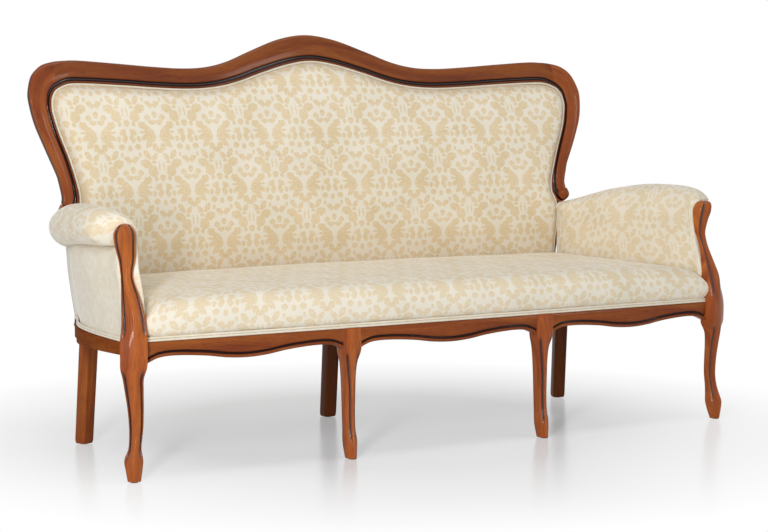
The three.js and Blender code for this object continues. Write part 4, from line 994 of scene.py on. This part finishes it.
def plain_stuff(name, dark, light, scale, roughness, metallic, bump):
    """A stuff whose tone wanders between two colours, streaked or woven by the scale's directions."""
    material = new_material(name)
    tree = material.node_tree
    lay = node(tree, "TexCoord").outputs["Object"]
    way = feed(tree, "Mapping", {"Vector": lay, "Scale": scale})
    streak = feed(tree, "TexNoise", {"Vector": way, "Scale": 1.0, "Detail": 5.0})
    colour = ramp(tree, streak, [(0.3, dark), (0.7, light)])
    rough = feed(tree, "MapRange", {
        "Value": streak, "To Min": roughness - 0.08, "To Max": roughness + 0.08})
    relief = feed(tree, "Bump", {"Height": streak, "Strength": bump, "Distance": 0.0004})
    made = feed(tree, "BsdfPrincipled", {
        "Base Color": colour, "Roughness": rough, "Normal": relief, "Metallic": metallic})
    node(tree, "OutputMaterial", {"Surface": made})
    return material


STUFFS = {
    "rear_rail": ("walnut_rear_rail", (.1, .022, .012), (.3, .08, .03), (3, 30, 60), .35, 0, .2),
    "seat_brace": ("beech", (.42, .27, .15), (.6, .42, .26), (60, 4, 60), .6, 0, .2),
    "webbing": ("jute", (.2, .13, .07), (.45, .33, .2), (420, 420, 420), .9, 0, .6),
    "dust_cover": ("dust_cloth", (.008, .008, .008), (.03, .03, .03), (700, 700, 700), .9, 0, .2),
    "stile_bolt": ("bolt_steel", (.5, .5, .48), (.62, .62, .6), (90, 900, 90), .35, 1, .05),
    "glide": ("glide_nylon", (.06, .035, .02), (.09, .055, .035), (200, 200, 200), .5, 0, .05)}
stuffs = {kind: plain_stuff(*values) for kind, values in STUFFS.items()}
beech_nodes = ("seat_brace", "corner_block", "lower_back_rail", "back_upright", "arm_rail", "crest_dowel")
for name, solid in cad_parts.items():
    kind = next((k for k in stuffs if name.startswith(k)), None)
    if name.startswith(beech_nodes):
        kind = "seat_brace"
    if kind:
        for held in solid.material_slots:
            held.material = stuffs[kind]

# ROOM
# Plain white floor that fades into a white ground, soft light from the front left and a weak fill.


def seen_ray(tree):
    """1 for what the camera sees, straight, mirrored or through glass; 0 for light that falls on things."""
    path = node(tree, "LightPath").outputs
    seen = sum_of(tree, "MAXIMUM", path["Is Camera Ray"], path["Is Glossy Ray"])
    return sum_of(tree, "MAXIMUM", seen, path["Is Transmission Ray"])


floor_shape = bmesh.new()
bmesh.ops.create_grid(floor_shape, x_segments=1, y_segments=1, size=30)
floor_stuff = new_material("floor")
floor_tree = floor_stuff.node_tree
place = node(floor_tree, "TexCoord").outputs["Object"]
away = node(floor_tree, "VectorMath", {0: place}, operation="LENGTH").outputs["Value"]
fade = feed(floor_tree, "MapRange", {
    "Value": away, "From Min": 0.6, "From Max": 1.4, "To Min": 0.3, "To Max": 1.0})
fade = sum_of(floor_tree, "MULTIPLY", fade, seen_ray(floor_tree))
matt = feed(floor_tree, "BsdfPrincipled", {
    "Base Color": (0.86, 0.87, 0.88, 1), "Roughness": 0.22, "Specular IOR Level": 0.3})
white = feed(floor_tree, "Emission", {"Strength": 1.0})
mixed = feed(floor_tree, "MixShader", {"Fac": fade, 1: matt, 2: white})
node(floor_tree, "OutputMaterial", {"Surface": mixed})
piece_of("floor", floor_shape, floor_stuff)

world = bpy.data.worlds.new("room")
world.use_nodes = True
bpy.context.scene.world = world
sky = world.node_tree
sky.nodes.clear()
strength = feed(sky, "MapRange", {"Value": seen_ray(sky), "To Min": 0.3, "To Max": 1.0})
ground = feed(sky, "Background", {"Color": (1, 1, 1, 1), "Strength": strength})
node(sky, "OutputWorld", {"Surface": ground})


def lamp(name, place, aim, size, power):
    light = bpy.data.lights.new(name, "AREA")
    light.shape = "RECTANGLE"
    light.size, light.size_y = size
    light.energy = power
    held = bpy.data.objects.new(name, light)
    bpy.context.scene.collection.objects.link(held)
    held.location = place
    held.rotation_euler = (Vector(aim) - Vector(place)).to_track_quat("-Z", "Y").to_euler()


lamp("key", (-3.2, -3.4, 1.6), (0, 0, 0.55), (0.45, 2.9), 128)
lamp("fill", (3.4, -4.0, 2.2), (0, 0, 0.5), (0.6, 1.8), 22)
lamp("top", (0, -0.8, 4.2), (0, 0, 0.4), (3.0, 1.2), 34)

CAMERA_PLACE, CAMERA_TILT, CAMERA_TURN = (-3.0973, -4.5672, 0.95), 0.0872, 0.56574
view = bpy.data.cameras.new("view")
view.sensor_width = 36
view.lens = 101.81
camera = bpy.data.objects.new("view", view)
bpy.context.scene.collection.objects.link(camera)
camera.location = Vector(CAMERA_PLACE) + Vector((0, POSTS_PLANE, 0))
camera.rotation_euler = (math.pi / 2 - CAMERA_TILT, 0, -CAMERA_TURN)
bpy.context.scene.camera = camera
bpy.context.scene.view_settings.view_transform = "Standard"
